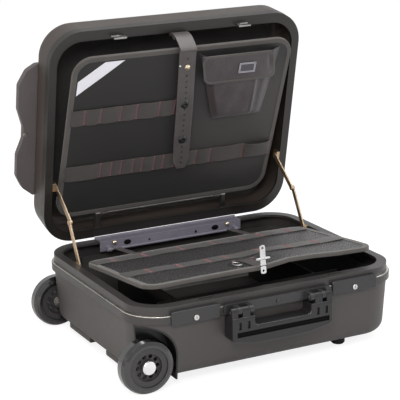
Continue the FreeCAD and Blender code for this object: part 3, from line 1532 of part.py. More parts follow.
def clasp(board_z, top):
    """The front clasp: a hook that folds back, a pull below the panel's edge and a strap on the panel."""
    half = s.clasp_width / 2
    place = s.clasp_place
    edge = -base_panel_far - s.clearance
    y = (edge - s.clasp_thickness, edge)
    pull = body("clasp_pull")
    prism(pull, "shank", "XZ", plate_of((place - half, place + half), (top - s.clasp_drop, top),
                                        half * PULL_CORNER_SHARE), y)
    rod(pull, "eye", "y", (place, top - s.clasp_drop + half), s.clasp_eye_hole,
        (y[0] - s.overrun, y[1] + s.overrun),
        cut=True)
    in_base_panel(pull)
    pivot_z = top + s.clasp_pivot_radius + s.clearance
    hook = body("clasp_hook")
    middle = (y[0] + y[1]) / 2
    rod(hook, "pivot", "x", (middle, pivot_z), s.clasp_pivot_radius, (place - half, place + half))
    thin = s.clasp_thickness / 2
    prism(hook, "plate", "XZ", plate_of((place - half, place + half), (pivot_z, pivot_z + s.clasp_rise),
                                         half * HOOK_CORNER_SHARE), (middle - thin, middle + thin))
    rod(hook, "bar", "x", (middle, pivot_z + s.clasp_bar_rise), s.clasp_bar_radius,
        (place - s.clasp_bar / 2, place + s.clasp_bar / 2))
    rod(hook, "eye", "y", (place, pivot_z + s.clasp_rise - half), s.clasp_eye_hole,
        (y[0] - s.overrun, y[1] + s.overrun), cut=True)
    in_base_panel(hook)
    strap = body("strap_on_panel")
    near_y = -base_panel_far + s.binding_width + s.clearance
    z = (board_z[1] + s.clearance / 3, board_z[1] + s.band_thickness)
    wide = s.clasp_strap_width / 2
    prism(strap, "strap", "XY", plate_of((place - wide, place + wide),
                                         (near_y, near_y + s.clasp_strap_length),
                                         s.overrun), z)
    rod(strap, "hole", "z", (place, near_y + s.clasp_strap_length * STRAP_HOLE_SHARE), s.eyelet_hole,
        (z[0] - s.overrun, z[1] + s.overrun), cut=True)
    tab = body("clasp_tab")
    wide = s.clasp_tab_width / 2
    y = (s.clearance - inner_y, s.clearance + s.band_thickness - inner_y)
    high = s.rim_plane - s.clearance
    prism(tab, "tab", "XZ", plate_of((-wide, wide), (high - s.clasp_tab_height, high), s.overrun), y)
    in_base(tab)
    return strap


lid_centre = hinge_offset + half_width


def lid_tub(label, grow):
    """The lid's outside as one solid, grown by a clearance."""
    outside = body(label)
    tub(outside, "walls", -grow, -s.rim_upper_height, -s.lid_depth - grow, lid_centre)
    soften(outside, "outer_edge", s.lid_edge_radius, at_level("z", -s.lid_depth - grow))
    return outside


def lid_shell():
    space = body("lid_space")
    deep = s.lid_depth - s.shell_wall
    open_inset = s.shell_wall - s.overrun * s.draft_angle.tan()
    tub(space, "space", open_inset, s.overrun - s.rim_upper_height, -deep, lid_centre)
    soften(space, "outer_edge", s.lid_edge_radius - s.shell_wall, at_level("z", -deep))
    return in_lid(cut_away("lid_shell", lid_tub("lid_outside", size(0)), [space]))


def lid_rim():
    """The frame round the lid's opening, with slots for the strikers and a seat for the hinge leaf."""
    rim = body("lid_rim")
    face = -s.rim_gap
    prism(rim, "ring", "XY", ring_plan(0, 0, 0, lid_centre), (-s.rim_upper_height, face))
    opening = plate_of((-inner_x, inner_x), (lid_centre - inner_y, lid_centre + inner_y),
                       s.rim_radius - s.rim_flange_side)
    prism(rim, "opening", "XY", opening, (-s.rim_upper_height - s.overrun, face + s.overrun), cut=True)
    wall = -s.rim_wall
    prism(rim, "under_flange", "XY", ring_plan(wall, wall, wall, lid_centre),
          (-s.rim_upper_height - s.overrun, face - s.rim_flange_thickness), cut=True)
    for side in (-1, 1):
        x = mirrored(side, s.striker_centre - s.striker_width / 2 - s.clearance,
                     s.striker_centre + s.striker_width / 2 + s.clearance)
        y = (striker_y - s.striker_thickness / 2 - s.clearance,
             striker_y + s.striker_thickness / 2 + s.clearance)
        block(rim, "striker_slot", x, y, (face - s.rim_flange_thickness - s.overrun, face + s.overrun),
              cut=True)
    half = s.hinge_half_length + s.clearance
    block(rim, "hinge_seat", (-half, half), (-s.overrun, hinge_offset + s.rim_flange_front + s.overrun),
          (-s.hinge_leaf - s.clearance * 2, s.overrun), cut=True)
    return in_lid(rim)


striker_y = hinge_y + bolt_y


def strikers():
    """Two hooked strikers, each with a root under the rim's flange."""
    members = []
    for side in (-1, 1):
        hook = body("striker")
        low = s.striker_centre - s.striker_width / 2
        high = s.striker_centre + s.striker_width / 2
        root = -s.rim_gap - s.rim_flange_thickness
        drop = s.striker_drop
        corners = [(low, root), (low, drop), (high, drop), (high, drop - s.striker_arm),
                   (low + s.striker_leg, drop - s.striker_arm), (low + s.striker_leg, s.rim_gap),
                   (high, s.rim_gap),
                   (high, root)]
        y = (striker_y - s.striker_thickness / 2, striker_y + s.striker_thickness / 2)
        prism(hook, "hook", "XZ", shape_of(*[(x * side, z) for x, z in corners]), y)
        block(hook, "root", mirrored(side, low, high),
              (y[0] - s.striker_thickness, y[1] + s.striker_thickness),
              (root - s.striker_root, root))
        members.append(hook)
    return in_lid(group("strikers", members))


def lid_liner():
    """A padded board on the inside of the lid's broad wall."""
    liner = body("lid_liner")
    low = s.shell_wall + s.clearance - s.lid_depth
    inset = s.liner_inset + s.lid_edge_radius
    prism(liner, "board", "XY", plate_of((inset - half_length, half_length - inset),
                                         (lid_centre - half_width + inset, lid_centre + half_width - inset),
                                         s.liner_radius), (low, low + s.lid_liner_depth))
    return in_lid(liner)


def lid_foot():
    """The wavy bumper on the lid's left end, which stands out as far as the wheels."""
    plate = body("lid_foot_plate")
    root = half_length - s.lid_edge_radius * 1.3
    wall = half_length
    reach = wheel_x + s.wheel_radius - wall
    corners = [(-root, s.rim_width * FOOT_OUTLINE_SHARES[0][1])]
    corners += [(-wall - reach * x, s.rim_width * y) for x, y in FOOT_OUTLINE_SHARES]
    corners.append((-root, s.rim_width * FOOT_OUTLINE_SHARES[-1][1]))
    z = (-s.lid_foot_front - s.lid_foot_thickness, -s.lid_foot_front)
    prism(plate, "plate", "XY", shape_of(*corners), z)
    soften(plate, "lobes", s.lid_foot_radius * LOBE_CORNER_SHARE,
           along("z", lambda box: box.XMin < float(-wall - reach * LOBE_REACH_SHARE)))
    return in_lid(cut_away("lid_foot", plate, [lid_tub("lid_foot_seat", s.clearance / 3)]))


def lid_foot_screw():
    wall = half_length
    reach = wheel_x + s.wheel_radius - wall
    x = -wall - reach * LID_FOOT_SCREW_SHARE[0]
    y = s.rim_width * LID_FOOT_SCREW_SHARE[1]
    return in_lid(screw("lid_foot_screw", "z", (x, y), -s.lid_foot_front, 1))


def build():
    base_shell()
    base_rim()
    rim_bead()
    base_liner()
    base_insert()
    for side, name in ((-1, "front"), (1, "rear")):
        wheel_tyre(side, f"tyre_{name}")
        wheel_core(side, f"wheel_core_{name}")
        hub_cap(side, f"hub_cap_{name}")
    group("wheel_housings", [wheel_housing(side, "wheel_housing") for side in (-1, 1)])
    group("axles", [wheel_axle(side) for side in (-1, 1)] + [wheel_bushings(side) for side in (-1, 1)])
    base_feet()
    pull_tubes()
    pull_bezel()
    pull_grip()
    pull_button()
    for side, name in ((-1, "left"), (1, "right")):
        key_cylinder(side, f"key_cylinder_{name}")
        latch_bolt(side, f"latch_bolt_{name}")
    group("lock_plates", [lock_plate(side) for side in (-1, 1)])
    handle_mount()
    carry_handle()
    handle_insert()
    handle_pins()
    group("base_screws", [handle_screw()] + hinge_screws())
    base_hinge_leaf()
    lid_hinge_leaf()
    stays()
    lid_panel()
    lid_panel_mount()
    group("elastic_rows", [elastic_row(ROW_STITCHES_UPPER_SHARE, s.upper_row_height),
                           elastic_row(ROW_STITCHES_LOWER_SHARE, s.lower_row_height)])
    corner_label()
    pocket()
    panel_strap()
    base_panel()
    lid_shell()
    lid_rim()
    strikers()
    lid_liner()
    lid_foot()
    lid_foot_screw()


def finished_pieces():
    """Every piece that no other piece is made from."""
    kinds = ("PartDesign::Body", "Part::Compound", "Part::Cut")
    used = set()
    for thing in doc.Objects:
        if thing.TypeId in ("Part::Compound", "Part::Cut", "Part::Common"):
            members = thing.Links if thing.TypeId == "Part::Compound" else [thing.Base, thing.Tool]
            used.update(member.Name for member in members)
    return [thing for thing in doc.Objects if thing.TypeId in kinds and thing.Name not in used]


def check():
    """Stops at any object that failed and any piece that isn't a sound solid."""
    faults = [f"{thing.Label}: {thing.State}" for thing in doc.Objects
              if "Invalid" in thing.State or "Error" in thing.State]
    faults += [f"{piece.Label} has no sound shape" for piece in finished_pieces()
               if piece.Shape.isNull() or not piece.Shape.isValid() or not piece.Shape.Solids]
    if faults:
        raise RuntimeError("; ".join(faults))


def write():
    os.makedirs("parts", exist_ok=True)
    for piece in finished_pieces():
        piece.Shape.exportStep(f"parts/{piece.Label}.step")
    for piece in finished_pieces():
        b = piece.Shape.BoundBox
        print(f"{piece.Label:22s} {len(piece.Shape.Solids):3d} x {b.XMin:8.2f} {b.XMax:8.2f}  y {b.YMin:8.2f} "
              f"{b.YMax:8.2f}  z {b.ZMin:8.2f} {b.ZMax:8.2f}")
    box = Part.makeCompound([piece.Shape for piece in finished_pieces()]).BoundBox
    print(len(finished_pieces()), "pieces,", "box", [round(side, 1) for side in
                                                    (box.XMin, box.XMax, box.YMin, box.YMax, box.ZMin,
                                                     box.ZMax)])
    lid, lower, upper = stay_geometry()
    print("frame", round(float(frame_x), 3), round(float(frame_y), 3), "lid pivot", lid, "links", lower,
          upper)


build()
doc.recompute()
check()
write()
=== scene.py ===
# %% [markdown]
# A wheeled hard tool case stands open, seen from its front left. Its rigid pieces come from the CAD frame and
# get their finishes here. Its soft pieces, which are panels, tapes, elastic loops and a pocket, are modelled here.

# %% Load the frame
import json
import math

import bpy
from mathutils import Matrix, Vector


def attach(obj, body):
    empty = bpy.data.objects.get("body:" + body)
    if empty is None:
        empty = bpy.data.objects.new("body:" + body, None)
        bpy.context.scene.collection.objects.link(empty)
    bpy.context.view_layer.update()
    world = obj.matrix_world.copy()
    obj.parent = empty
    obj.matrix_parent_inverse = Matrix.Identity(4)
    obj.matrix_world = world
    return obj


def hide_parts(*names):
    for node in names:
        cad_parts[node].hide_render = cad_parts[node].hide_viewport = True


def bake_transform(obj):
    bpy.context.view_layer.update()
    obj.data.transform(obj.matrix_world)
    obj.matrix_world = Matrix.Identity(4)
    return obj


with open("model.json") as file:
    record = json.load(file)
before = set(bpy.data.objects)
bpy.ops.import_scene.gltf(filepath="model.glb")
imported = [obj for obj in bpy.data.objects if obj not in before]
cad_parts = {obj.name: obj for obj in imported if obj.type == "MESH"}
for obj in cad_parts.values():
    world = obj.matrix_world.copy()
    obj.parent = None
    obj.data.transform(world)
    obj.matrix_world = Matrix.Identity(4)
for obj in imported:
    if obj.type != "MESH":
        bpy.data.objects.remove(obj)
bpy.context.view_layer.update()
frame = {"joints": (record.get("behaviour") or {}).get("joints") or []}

JOINTS = {joint["name"]: joint for joint in frame["joints"]}
MM = 0.001

# %% [markdown]
# The case is drawn in three tilted frames: the open lid, the tool panel that leans out of it, and the panel that
# lies on the base. A piece is modelled flat in such a frame, and its place is then applied to its mesh, because it
# is far easier to draw a flat sheet than a tilted one. Lengths are in millimetres up to that point.

# %% Frames of the lid and the panels
LID_ANGLE = 78.7
LID_PANEL_LEAN = 9.8
BASE_PANEL_LEAN = 6.25
HINGE_BEHIND_MIDDLE = 219.3


def tilted(joint, degrees):
    """The frame at a joint's place, turned about X."""
    return Matrix.Translation(Vector(JOINTS[joint]["pos_m"])) @ Matrix.Rotation(math.radians(degrees), 4, "X")


IN_LID = tilted("lid_hinge", 180 - LID_ANGLE)
ON_LID_PANEL = tilted("lid_panel_lean", 180 - LID_ANGLE + LID_PANEL_LEAN)
ON_BASE_PANEL = tilted("base_panel_lean", -BASE_PANEL_LEAN)
hinge_x, hinge_y, _ = JOINTS["lid_hinge"]["pos_m"]
MIDDLE_X = hinge_x / MM
CASE_MIDDLE = Vector((hinge_x, hinge_y - HINGE_BEHIND_MIDDLE * MM, 0))
IN_CASE = Matrix.Translation(CASE_MIDDLE)
print("case middle", [round(value, 4) for value in CASE_MIDDLE])

# %% [markdown]
# The camera stands where the photograph was taken. Its place was solved from the case's rim, wheels and locks. It
# could be set by eye, but then no piece could be compared with the photograph at its true place.

# %% Camera
PHOTO_WIDTH = 400
FOCAL_PIXELS = 1538.817
CAMERA = {"azimuth": -27.3824, "elevation": 15.5439, "roll": -0.9542, "distance": 2.834976}
TARGET = CASE_MIDDLE + Vector((-50.222, -27.521, 276.783)) * MM
FARTHEST = 50


def aim_camera():
    """Sets the camera back from its target, turned by the three angles, and gives its place."""
    azimuth, elevation, roll = (math.radians(CAMERA[key]) for key in ("azimuth", "elevation", "roll"))
    back = Vector((math.sin(azimuth) * math.cos(elevation), -math.cos(azimuth) * math.cos(elevation),
                   math.sin(elevation)))
    right = Vector((math.cos(azimuth), math.sin(azimuth), 0))
    up = back.cross(right)
    turned_right = right * math.cos(roll) + up * math.sin(roll)
    turned_up = up * math.cos(roll) - right * math.sin(roll)
    data = bpy.data.cameras.new("camera")
    data.lens = data.sensor_width * FOCAL_PIXELS / PHOTO_WIDTH
    data.clip_end = FARTHEST
    camera = bpy.data.objects.new("camera", data)
    bpy.context.scene.collection.objects.link(camera)
    place = TARGET + back * CAMERA["distance"]
    camera.matrix_world = Matrix.Translation(place) @ Matrix((turned_right, turned_up, back)).transposed().to_4x4()
    bpy.context.scene.camera = camera
    return place


print("camera at", [round(value, 3) for value in aim_camera()])

# %% [markdown]
# Shader maths reads like ordinary maths here. A Signal wraps one output socket, and each operator on it adds the
# Math node that it stands for. A Finish is one material, and its node method makes any other kind of node. Nodes
# could be added and linked one by one, but a formula that is read in one line is easier to change.

# %% Signals and finishes
class Signal:
    """One output of a shader node; operators on it add Math nodes."""

    def __init__(self, finish, socket):
        self.finish = finish
        self.socket = socket

    def _math(self, operation, *values):
        return self.finish.node("ShaderNodeMath", {"operation": operation}, *values)

    def __add__(self, other):
        return self._math("ADD", self, other)

    def __radd__(self, other):
        return self._math("ADD", other, self)

    def __sub__(self, other):
        return self._math("SUBTRACT", self, other)

    def __rsub__(self, other):
        return self._math("SUBTRACT", other, self)

    def __mul__(self, other):
        return self._math("MULTIPLY", self, other)

    def __rmul__(self, other):
        return self._math("MULTIPLY", other, self)

    def __truediv__(self, other):
        return self._math("DIVIDE", self, other)

    def sine(self):
        return self._math("SINE", self)

    def clamp(self):
        return self.finish.node("ShaderNodeClamp", {}, self)


def linear(color):
    """An sRGB colour given in 0 to 255 as the linear colour that shaders use."""
    shares = [channel / 255 for channel in color]
    return [share / 12.92 if share <= 0.04045 else ((share + 0.055) / 1.055) ** 2.4 for share in shares] + [1.0]


def shade(color, factor):
    """A linear colour made darker or paler."""
    return [min(1.0, channel * factor) for channel in color[:3]] + [1.0]


class Finish:
    """One procedural material."""

    def __init__(self, name, color, roughness, **settings):
        self.material = bpy.data.materials.new(name)
        self.material.use_nodes = True
        self.tree = self.material.node_tree
        self.shader = self.tree.nodes["Principled BSDF"]
        self.color = linear(color)
        self.put("Base Color", self.color)
        self.put("Roughness", roughness)
        for socket, value in settings.items():
            self.put(socket.replace("_", " "), value)

    def put(self, name, value):
        """Sets one of the shader's own sockets, or links a signal to it."""
        if isinstance(value, Signal):
            self.tree.links.new(value.socket, self.shader.inputs[name])
        else:
            self.shader.inputs[name].default_value = value

    def node(self, kind, settings, *values, out=0, slots=None, **named):
        """Adds a node: its settings first, then its inputs by order, by number (slots) or by name."""
        node = self.tree.nodes.new(kind)
        for key, value in settings.items():
            if key == "stops":
                ramp = node.color_ramp
                while len(ramp.elements) < len(value):
                    ramp.elements.new(0.5)
                for element, (place, shade) in zip(ramp.elements, value):
                    element.position = place
                    element.color = (shade, shade, shade, 1)
            else:
                setattr(node, key, value)
        entries = list(enumerate(values)) + list((slots or {}).items())
        entries += [(key.replace("_", " "), value) for key, value in named.items()]
        for key, value in entries:
            if isinstance(value, Signal):
                self.tree.links.new(value.socket, node.inputs[key])
            else:
                node.inputs[key].default_value = value
        return Signal(self, node.outputs[out])

    def place(self, space="Object", scale=(1, 1, 1)):
        """Coordinates in metres, the object's or the piece's own map, scaled."""
        coordinates = self.node("ShaderNodeTexCoord", {}, out=space)
        mapped = self.tree.nodes.new("ShaderNodeMapping")
        mapped.inputs["Scale"].default_value = scale
        self.tree.links.new(coordinates.socket, mapped.inputs["Vector"])
        return Signal(self, mapped.outputs[0])

    def axes(self, where):
        """The three parts of a place."""
        split = self.tree.nodes.new("ShaderNodeSeparateXYZ")
        self.tree.links.new(where.socket, split.inputs[0])
        return [Signal(self, output) for output in split.outputs]

    def noise(self, where, scale, detail=3.0, rough=0.5):
        return self.node("ShaderNodeTexNoise", {}, Vector=where, Scale=scale, Detail=detail, Roughness=rough)

    def ramp(self, value, *stops):
        return self.node("ShaderNodeValToRGB", {"stops": stops}, value)

    def between(self, mask, low, high):
        """A colour that runs from low to high with the mask."""
        return self.node("ShaderNodeMix", {"data_type": "RGBA"}, out=2, slots={0: mask, 6: low, 7: high})

    def bump(self, height, strength, depth, under=None):
        """A normal from a height, on top of the normal under it."""
        settings = {"Height": height, "Strength": strength, "Distance": depth}
        if under is not None:
            settings["Normal"] = under
        return self.node("ShaderNodeBump", {}, **settings)


print("signals and finishes can be made")

# %% [markdown]
# Moulded plastic has a fine grain, cloudy handling marks and edges that are rubbed paler. A Bevel node rounds the
# CAD's sharp edges in the shading, and where it turns the surface most is also where such an edge is worn. Painted
# pictures could show the same wear, but they would need a flat map on every piece, and noise in space needs none.

# %% Makers of moulded and metal finishes
MOULDED_EDGE, METAL_EDGE = 0.0012, 0.0006
CLOUD_SCALE, DUST_SCALE = 9.0, 70.0
LINE_SCALE, METAL_CLOUD_SCALE = 300.0, 25.0


def edge_mask(finish, radius):
    """The softened normal, and a mask that is 1 along edges."""
    soft = finish.node("ShaderNodeBevel", {"samples": 4}, radius)
    true = finish.node("ShaderNodeNewGeometry", {}, out=1)
    likeness = finish.node("ShaderNodeVectorMath", {"operation": "DOT_PRODUCT"}, soft, true, out=1)
    return soft, finish.ramp(1.0 - likeness, (0.02, 0.0), (0.22, 1.0))


def moulded(name, color, roughness=0.5, grain=900.0, depth=0.00012, mottle=0.12, wear=0.35, **extra):
    """Plastic, paint or rubber: clouded, dusty, grained to a depth, and worn paler along its edges."""
    finish = Finish(name, color, roughness, **extra)
    where = finish.place()
    cloud = finish.ramp(finish.noise(where, CLOUD_SCALE, 5.0), (0.3, 0.0), (0.7, 1.0))
    dust = finish.ramp(finish.noise(where, DUST_SCALE, 4.0, 0.7), (0.45, 0.0), (0.8, 1.0))
    soft, edges = edge_mask(finish, MOULDED_EDGE)
    base = finish.between(cloud, shade(finish.color, 1 - mottle), shade(finish.color, 1 + mottle))
    dusty = finish.between(dust * (mottle * 1.5), base, shade(finish.color, 1.9))
    wear_and_sheen = finish.between(edges * (wear * cloud + wear * 0.5), dusty, shade(finish.color, 2.3))
    finish.put("Base Color", wear_and_sheen)
    finish.put("Roughness", (roughness - 0.06 + 0.12 * cloud + 0.08 * dust).clamp())
    fine = finish.noise(where, grain, 2.0)
    finish.put("Normal", finish.bump(fine, 0.6, depth, soft))
    return finish.material


def metal(name, color, roughness=0.3, brushed=(1, 1, 1), wear=0.3):
    """Bare metal: fine lines, drawn out along an axis where it is brushed, clouds and bright edges."""
    finish = Finish(name, color, roughness, Metallic=1.0)
    where = finish.place(scale=brushed)
    lines = finish.noise(where, LINE_SCALE, 3.0, 0.6)
    cloud = finish.ramp(finish.noise(finish.place(), METAL_CLOUD_SCALE, 5.0), (0.35, 0.0), (0.7, 1.0))
    soft, edges = edge_mask(finish, METAL_EDGE)
    tone = finish.between(cloud, shade(finish.color, 0.8), shade(finish.color, 1.08))
    finish.put("Base Color", finish.between(edges * wear, tone, shade(finish.color, 1.5)))
    finish.put("Roughness", (roughness - 0.05 + 0.14 * cloud + 0.1 * lines).clamp())
    finish.put("Normal", finish.bump(lines, 0.25, 0.00008, soft))
    return finish.material


print("makers of finishes ready")

# %% Finishes of the case's plastic, rubber and metal
SHELL = moulded("shell", (62, 58, 57), 0.44, mottle=0.10, wear=0.22)
LID = moulded("lid_shell_plastic", (57, 50, 46), 0.44, mottle=0.10, wear=0.22)
RIM = moulded("frame_plastic", (50, 48, 47), 0.34, grain=1300, mottle=0.10, wear=0.6)
LID_RIM = moulded("lid_frame_plastic", (32, 29, 27), 0.34, grain=1300, mottle=0.10, wear=0.7)
BLACK = moulded("black_plastic", (17, 17, 18), 0.34, grain=1200, mottle=0.2, wear=0.25)
# Near black and barely glossy: painted shade that stands for the depth of the handle's slot and the hinge leaf's
# holes.
SLOT_SHADE = moulded("slot_painted_shade", (7, 7, 7), 0.85, mottle=0.2, wear=0.05, Specular_IOR_Level=0.1)
HANDLE = moulded("handle_plastic", (25, 24, 25), 0.30, grain=700, mottle=0.15, wear=0.4)
FOOT_PLATE = moulded("foot_plate", (82, 77, 77), 0.42, grain=800, mottle=0.08, wear=0.25)
LINING = moulded("lining", (44, 42, 40), 0.85, grain=500, depth=0.0005, mottle=0.25, wear=0.1)
CORE = moulded("core_plastic", (48, 46, 47), 0.45, wear=0.25)
LOCK = moulded("lock_metal", (42, 41, 43), 0.28, grain=1400, depth=0.00006, mottle=0.12, wear=0.5)
BEAD = metal("bright_bead", (226, 222, 216), 0.24, wear=0.2)
STEEL = metal("steel", (168, 166, 164), 0.30)
CAP = metal("cap_metal", (236, 235, 236), 0.20, wear=0.2)
KEY = metal("key_metal", (206, 205, 203), 0.2)
HINGE = moulded("hinge_paint", (112, 109, 121), 0.38, grain=1500, depth=0.00005, mottle=0.08, wear=0.4)
TUBE = metal("tube_aluminium", (180, 180, 184), 0.28, brushed=(0.04, 1, 1))
BRASS = metal("stay_brass", (190, 168, 142), 0.36)
RUBBER = moulded("foot_rubber", (22, 22, 22), 0.75, grain=600, depth=0.0003, mottle=0.25, wear=0.1)
TYRE = moulded("tyre_rubber", (12, 12, 12), 0.22, depth=0.00004, mottle=0.2, wear=0.1,
               Coat_Weight=1.0, Coat_Roughness=0.06)
print("finishes", len(bpy.data.materials))

# %% [markdown]
# Each rigid piece of the frame gets the finish of its material. The pieces that are left here are cloth, label or
# stud, and pieces of their own take their place below.

# %% Finishes on the CAD nodes
CAD_FINISH = {
    SHELL: ["base_shell"],
    LID: ["lid_shell"],
    RIM: ["base_rim"],
    LID_RIM: ["lid_rim"],
    BEAD: ["rim_bead"],
    LINING: ["base_liner", "base_insert"],
    BLACK: ["wheel_housings", "pull_bezel", "pull_grip"],
    TYRE: ["tyre_front", "tyre_rear"],
    CORE: ["wheel_core_front", "wheel_core_rear"],
    CAP: ["hub_cap_front", "hub_cap_rear", "clasp_pull", "clasp_hook"],
    RUBBER: ["feet"],
    TUBE: ["pull_tubes_outer", "pull_tubes_inner"],
    HANDLE: ["pull_button", "carry_handle"],
    # The handle's slot face gets painted shade for its depth, not a finish of its own.
    SLOT_SHADE: ["handle_insert"],
    KEY: ["key_cylinder_left", "key_cylinder_right"],
    LOCK: ["lock_plates", "handle_mount", "base_screws"],
    HINGE: ["base_hinge_leaf", "lid_hinge_leaf"],
    BRASS: ["stay_lower_links", "stay_upper_links", "stay_brackets_base", "stay_brackets_lid"],
    FOOT_PLATE: ["lid_foot"],
    STEEL: ["axles", "latch_bolt_left", "latch_bolt_right", "handle_pins", "lid_panel_mount", "strikers",
            "lid_foot_screw"],
}
finished = set()
for finish, nodes in CAD_FINISH.items():
    for node in nodes:
        materials = bpy.data.objects[node].data.materials
        materials.clear()
        materials.append(finish)
        finished.add(node)

# %% [markdown]
# Cloth, tape and webbing are woven, so their finish is a weave that follows the piece. Each such piece keeps the
# flat size it was cut to as its UV map, in metres, and the threads are counted out on that map. Threads could be
# modelled one by one, but at this distance two crossed sine waves in the bump look the same and cost nothing.

# %% A maker of woven finishes
SLUB_SCALE, CLOTH_CLOUD_SCALE, WRINKLE_SCALE = 420.0, 16.0, 38.0
# How many times paler the painted sheen patch makes a woven cloth's colour.
PAINTED_SHEEN_PALER = 6.5


def woven(name, color, pitch=1.1, depth=0.00025, roughness=0.85, sheen=0.25, mottle=0.16, ribs=1.0, patch=None,
          crumple=0.0012, **extra):
    """A weave with threads that are a pitch apart in millimetres; ribs under 1 stretch it across.

    A patch (x, y, reach) in metres is painted sheen: there the cloth's colour is made paler, a highlight painted
    in."""
    finish = Finish(name, color, roughness, Sheen_Weight=sheen, Sheen_Roughness=0.45, **extra)
    where = finish.place("UV")
    across, along, _ = finish.axes(where)
    turns = 2 * math.pi / (pitch * MM)
    warp = (across * turns).sine()
    weft = (along * (turns * ribs)).sine()
    threads = 0.5 + 0.5 * (warp * weft)
    slubs = finish.noise(where, SLUB_SCALE, 3.0, 0.7)
    cloud = finish.ramp(finish.noise(where, CLOTH_CLOUD_SCALE, 5.0, 0.6), (0.3, 0.0), (0.72, 1.0))
    tone = finish.between(cloud, shade(finish.color, 1 - mottle), shade(finish.color, 1 + mottle * 1.4))
    # The patch is painted sheen: towards its middle the colour is made paler, most on the threads.
    if patch:
        away_x = (across - patch[0]) / patch[2]
        away_y = (along - patch[1]) / patch[2]
        wear_and_sheen = (1.25 - (away_x * away_x + away_y * away_y) + 0.5 * cloud).clamp()
        tone = finish.between(wear_and_sheen * (0.35 + 0.65 * threads), tone, shade(finish.color, PAINTED_SHEEN_PALER))
    finish.put("Base Color", finish.between(threads * 0.55 + slubs * 0.3, shade(finish.color, 0.45), tone))
    finish.put("Roughness", (roughness - 0.1 + 0.15 * slubs).clamp())
    wrinkle = finish.bump(finish.noise(where, WRINKLE_SCALE, 4.0, 0.55), 0.35, crumple)
    finish.put("Normal", finish.bump(threads + 0.4 * slubs, 0.7, depth, wrinkle))
    return finish.material


print("woven finishes can be made")

# %% Finishes of cloth, tape, webbing and labels
# The panel's cover has a patch of painted sheen below the pocket.
NYLON = woven("panel_fabric", (29, 27, 26), 2.6, 0.0006, roughness=0.5, sheen=0.15, patch=(0.14, 0.19, 0.13))
COATED = woven("pocket_fabric", (66, 57, 60), 0.9, 0.0001, roughness=0.32, sheen=0.2, mottle=0.26,
               crumple=0.004)
TAPE = woven("binding_tape", (88, 84, 81), 1.6, 0.0003, ribs=0.5)
ELASTIC = woven("elastic", (68, 63, 61), 1.5, 0.0004, ribs=0.25, sheen=0.3, mottle=0.3)
BAND = woven("panel_band", (62, 58, 57), 1.6, 0.0004, roughness=0.5, ribs=0.25, sheen=0.15,
             Specular_IOR_Level=0.8)
GILT = metal("gilt", (236, 222, 190), 0.22, wear=0.2)
MESH = woven("mesh_fabric", (20, 17, 17), 4.4, 0.0016, roughness=0.30, sheen=0.05, Specular_IOR_Level=1.0)
FELT = woven("felt", (50, 47, 45), 0.8, 0.0002, sheen=0.3)
STRAP = moulded("strap_skin", (78, 73, 73), 0.40, grain=420, depth=0.00022, mottle=0.16, wear=0.3)
WEBBING = woven("strap_web", (66, 64, 63), 2.0, 0.0005, ribs=0.5, sheen=0.3)
THREAD = woven("stitch_thread", (158, 84, 90), 0.5, 0.0001, sheen=0.4)
LABEL = moulded("bare_label", (226, 226, 233), 0.35, grain=1500, depth=0.00003, mottle=0.04, wear=0.0)
PLATE = moulded("plate_skin", (66, 63, 68), 0.35, grain=1500, depth=0.00003, mottle=0.06, wear=0.0)
LABEL_EDGE = moulded("label_border", (206, 205, 214), 0.35, grain=1500, depth=0.00003, mottle=0.04, wear=0.0)
print("cloth finishes ready")

# %% [markdown]
# Every soft piece starts as a primitive grid or plane at its own size, flat, in millimetres. Bisecting it by planes
# cuts its corners round, the way scissors would. A rule then lifts it to its real lie, and modifiers thicken it. A
# cloth simulation could lay it too, but this cloth is sewn down nearly flat, and a rule keeps each seam in place.

# %% Selecting and editing
def only(piece=None):
    """Nothing is selected but this piece."""
    if bpy.context.object and bpy.context.object.mode != "OBJECT":
        bpy.ops.object.mode_set(mode="OBJECT")
    bpy.ops.object.select_all(action="DESELECT")
    if piece:
        piece.select_set(True)
        bpy.context.view_layer.objects.active = piece


def edit(piece):
    """Opens a piece in edit mode, with all of it selected."""
    only(piece)
    bpy.ops.object.mode_set(mode="EDIT")
    bpy.ops.mesh.select_all(action="SELECT")


def leave():
    bpy.ops.object.mode_set(mode="OBJECT")


def named(name):
    """Names the primitive that was just added."""
    piece = bpy.context.object
    piece.name = piece.data.name = name
    return piece


def spread(x, y):
    """Stretches the selected unit square from x[0] to x[1] and y[0] to y[1]."""
    bpy.ops.transform.resize(value=((x[1] - x[0]) * MM, (y[1] - y[0]) * MM, 1))
    bpy.ops.transform.translate(value=((x[0] + x[1]) / 2 * MM, (y[0] + y[1]) / 2 * MM, 0))


def within(span, gap):
    """A span that is shorter by a gap at both ends."""
    return span[0] + gap, span[1] - gap


print("editing helpers ready")

# %% Cutting out a flat piece
ALL_CORNERS = ((-1, -1), (1, -1), (1, 1), (-1, 1))
LOW_CORNERS = ALL_CORNERS[:2]


def flat(name, x, y, cells):
    """A grid from x[0] to x[1] and y[0] to y[1]."""
    only()
    bpy.ops.mesh.primitive_grid_add(x_subdivisions=cells[0], y_subdivisions=cells[1], size=1)
    piece = named(name)
    edit(piece)
    spread(x, y)
    leave()
    return piece


def cut(piece, point, normal):
    """Cuts away what lies past a line, on the side that the normal points to."""
    length = math.hypot(*normal)
    normal = (normal[0] / length, normal[1] / length, 0)
    edit(piece)
    bpy.ops.mesh.bisect(plane_co=(point[0] * MM, point[1] * MM, 0), plane_no=normal, clear_outer=True)
    leave()


def cut_to(piece, corners):
    """Cuts a grid to a convex outline whose corners run anticlockwise."""
    for first, second in zip(corners, corners[1:] + corners[:1]):
        cut(piece, first, (second[1] - first[1], first[0] - second[0]))


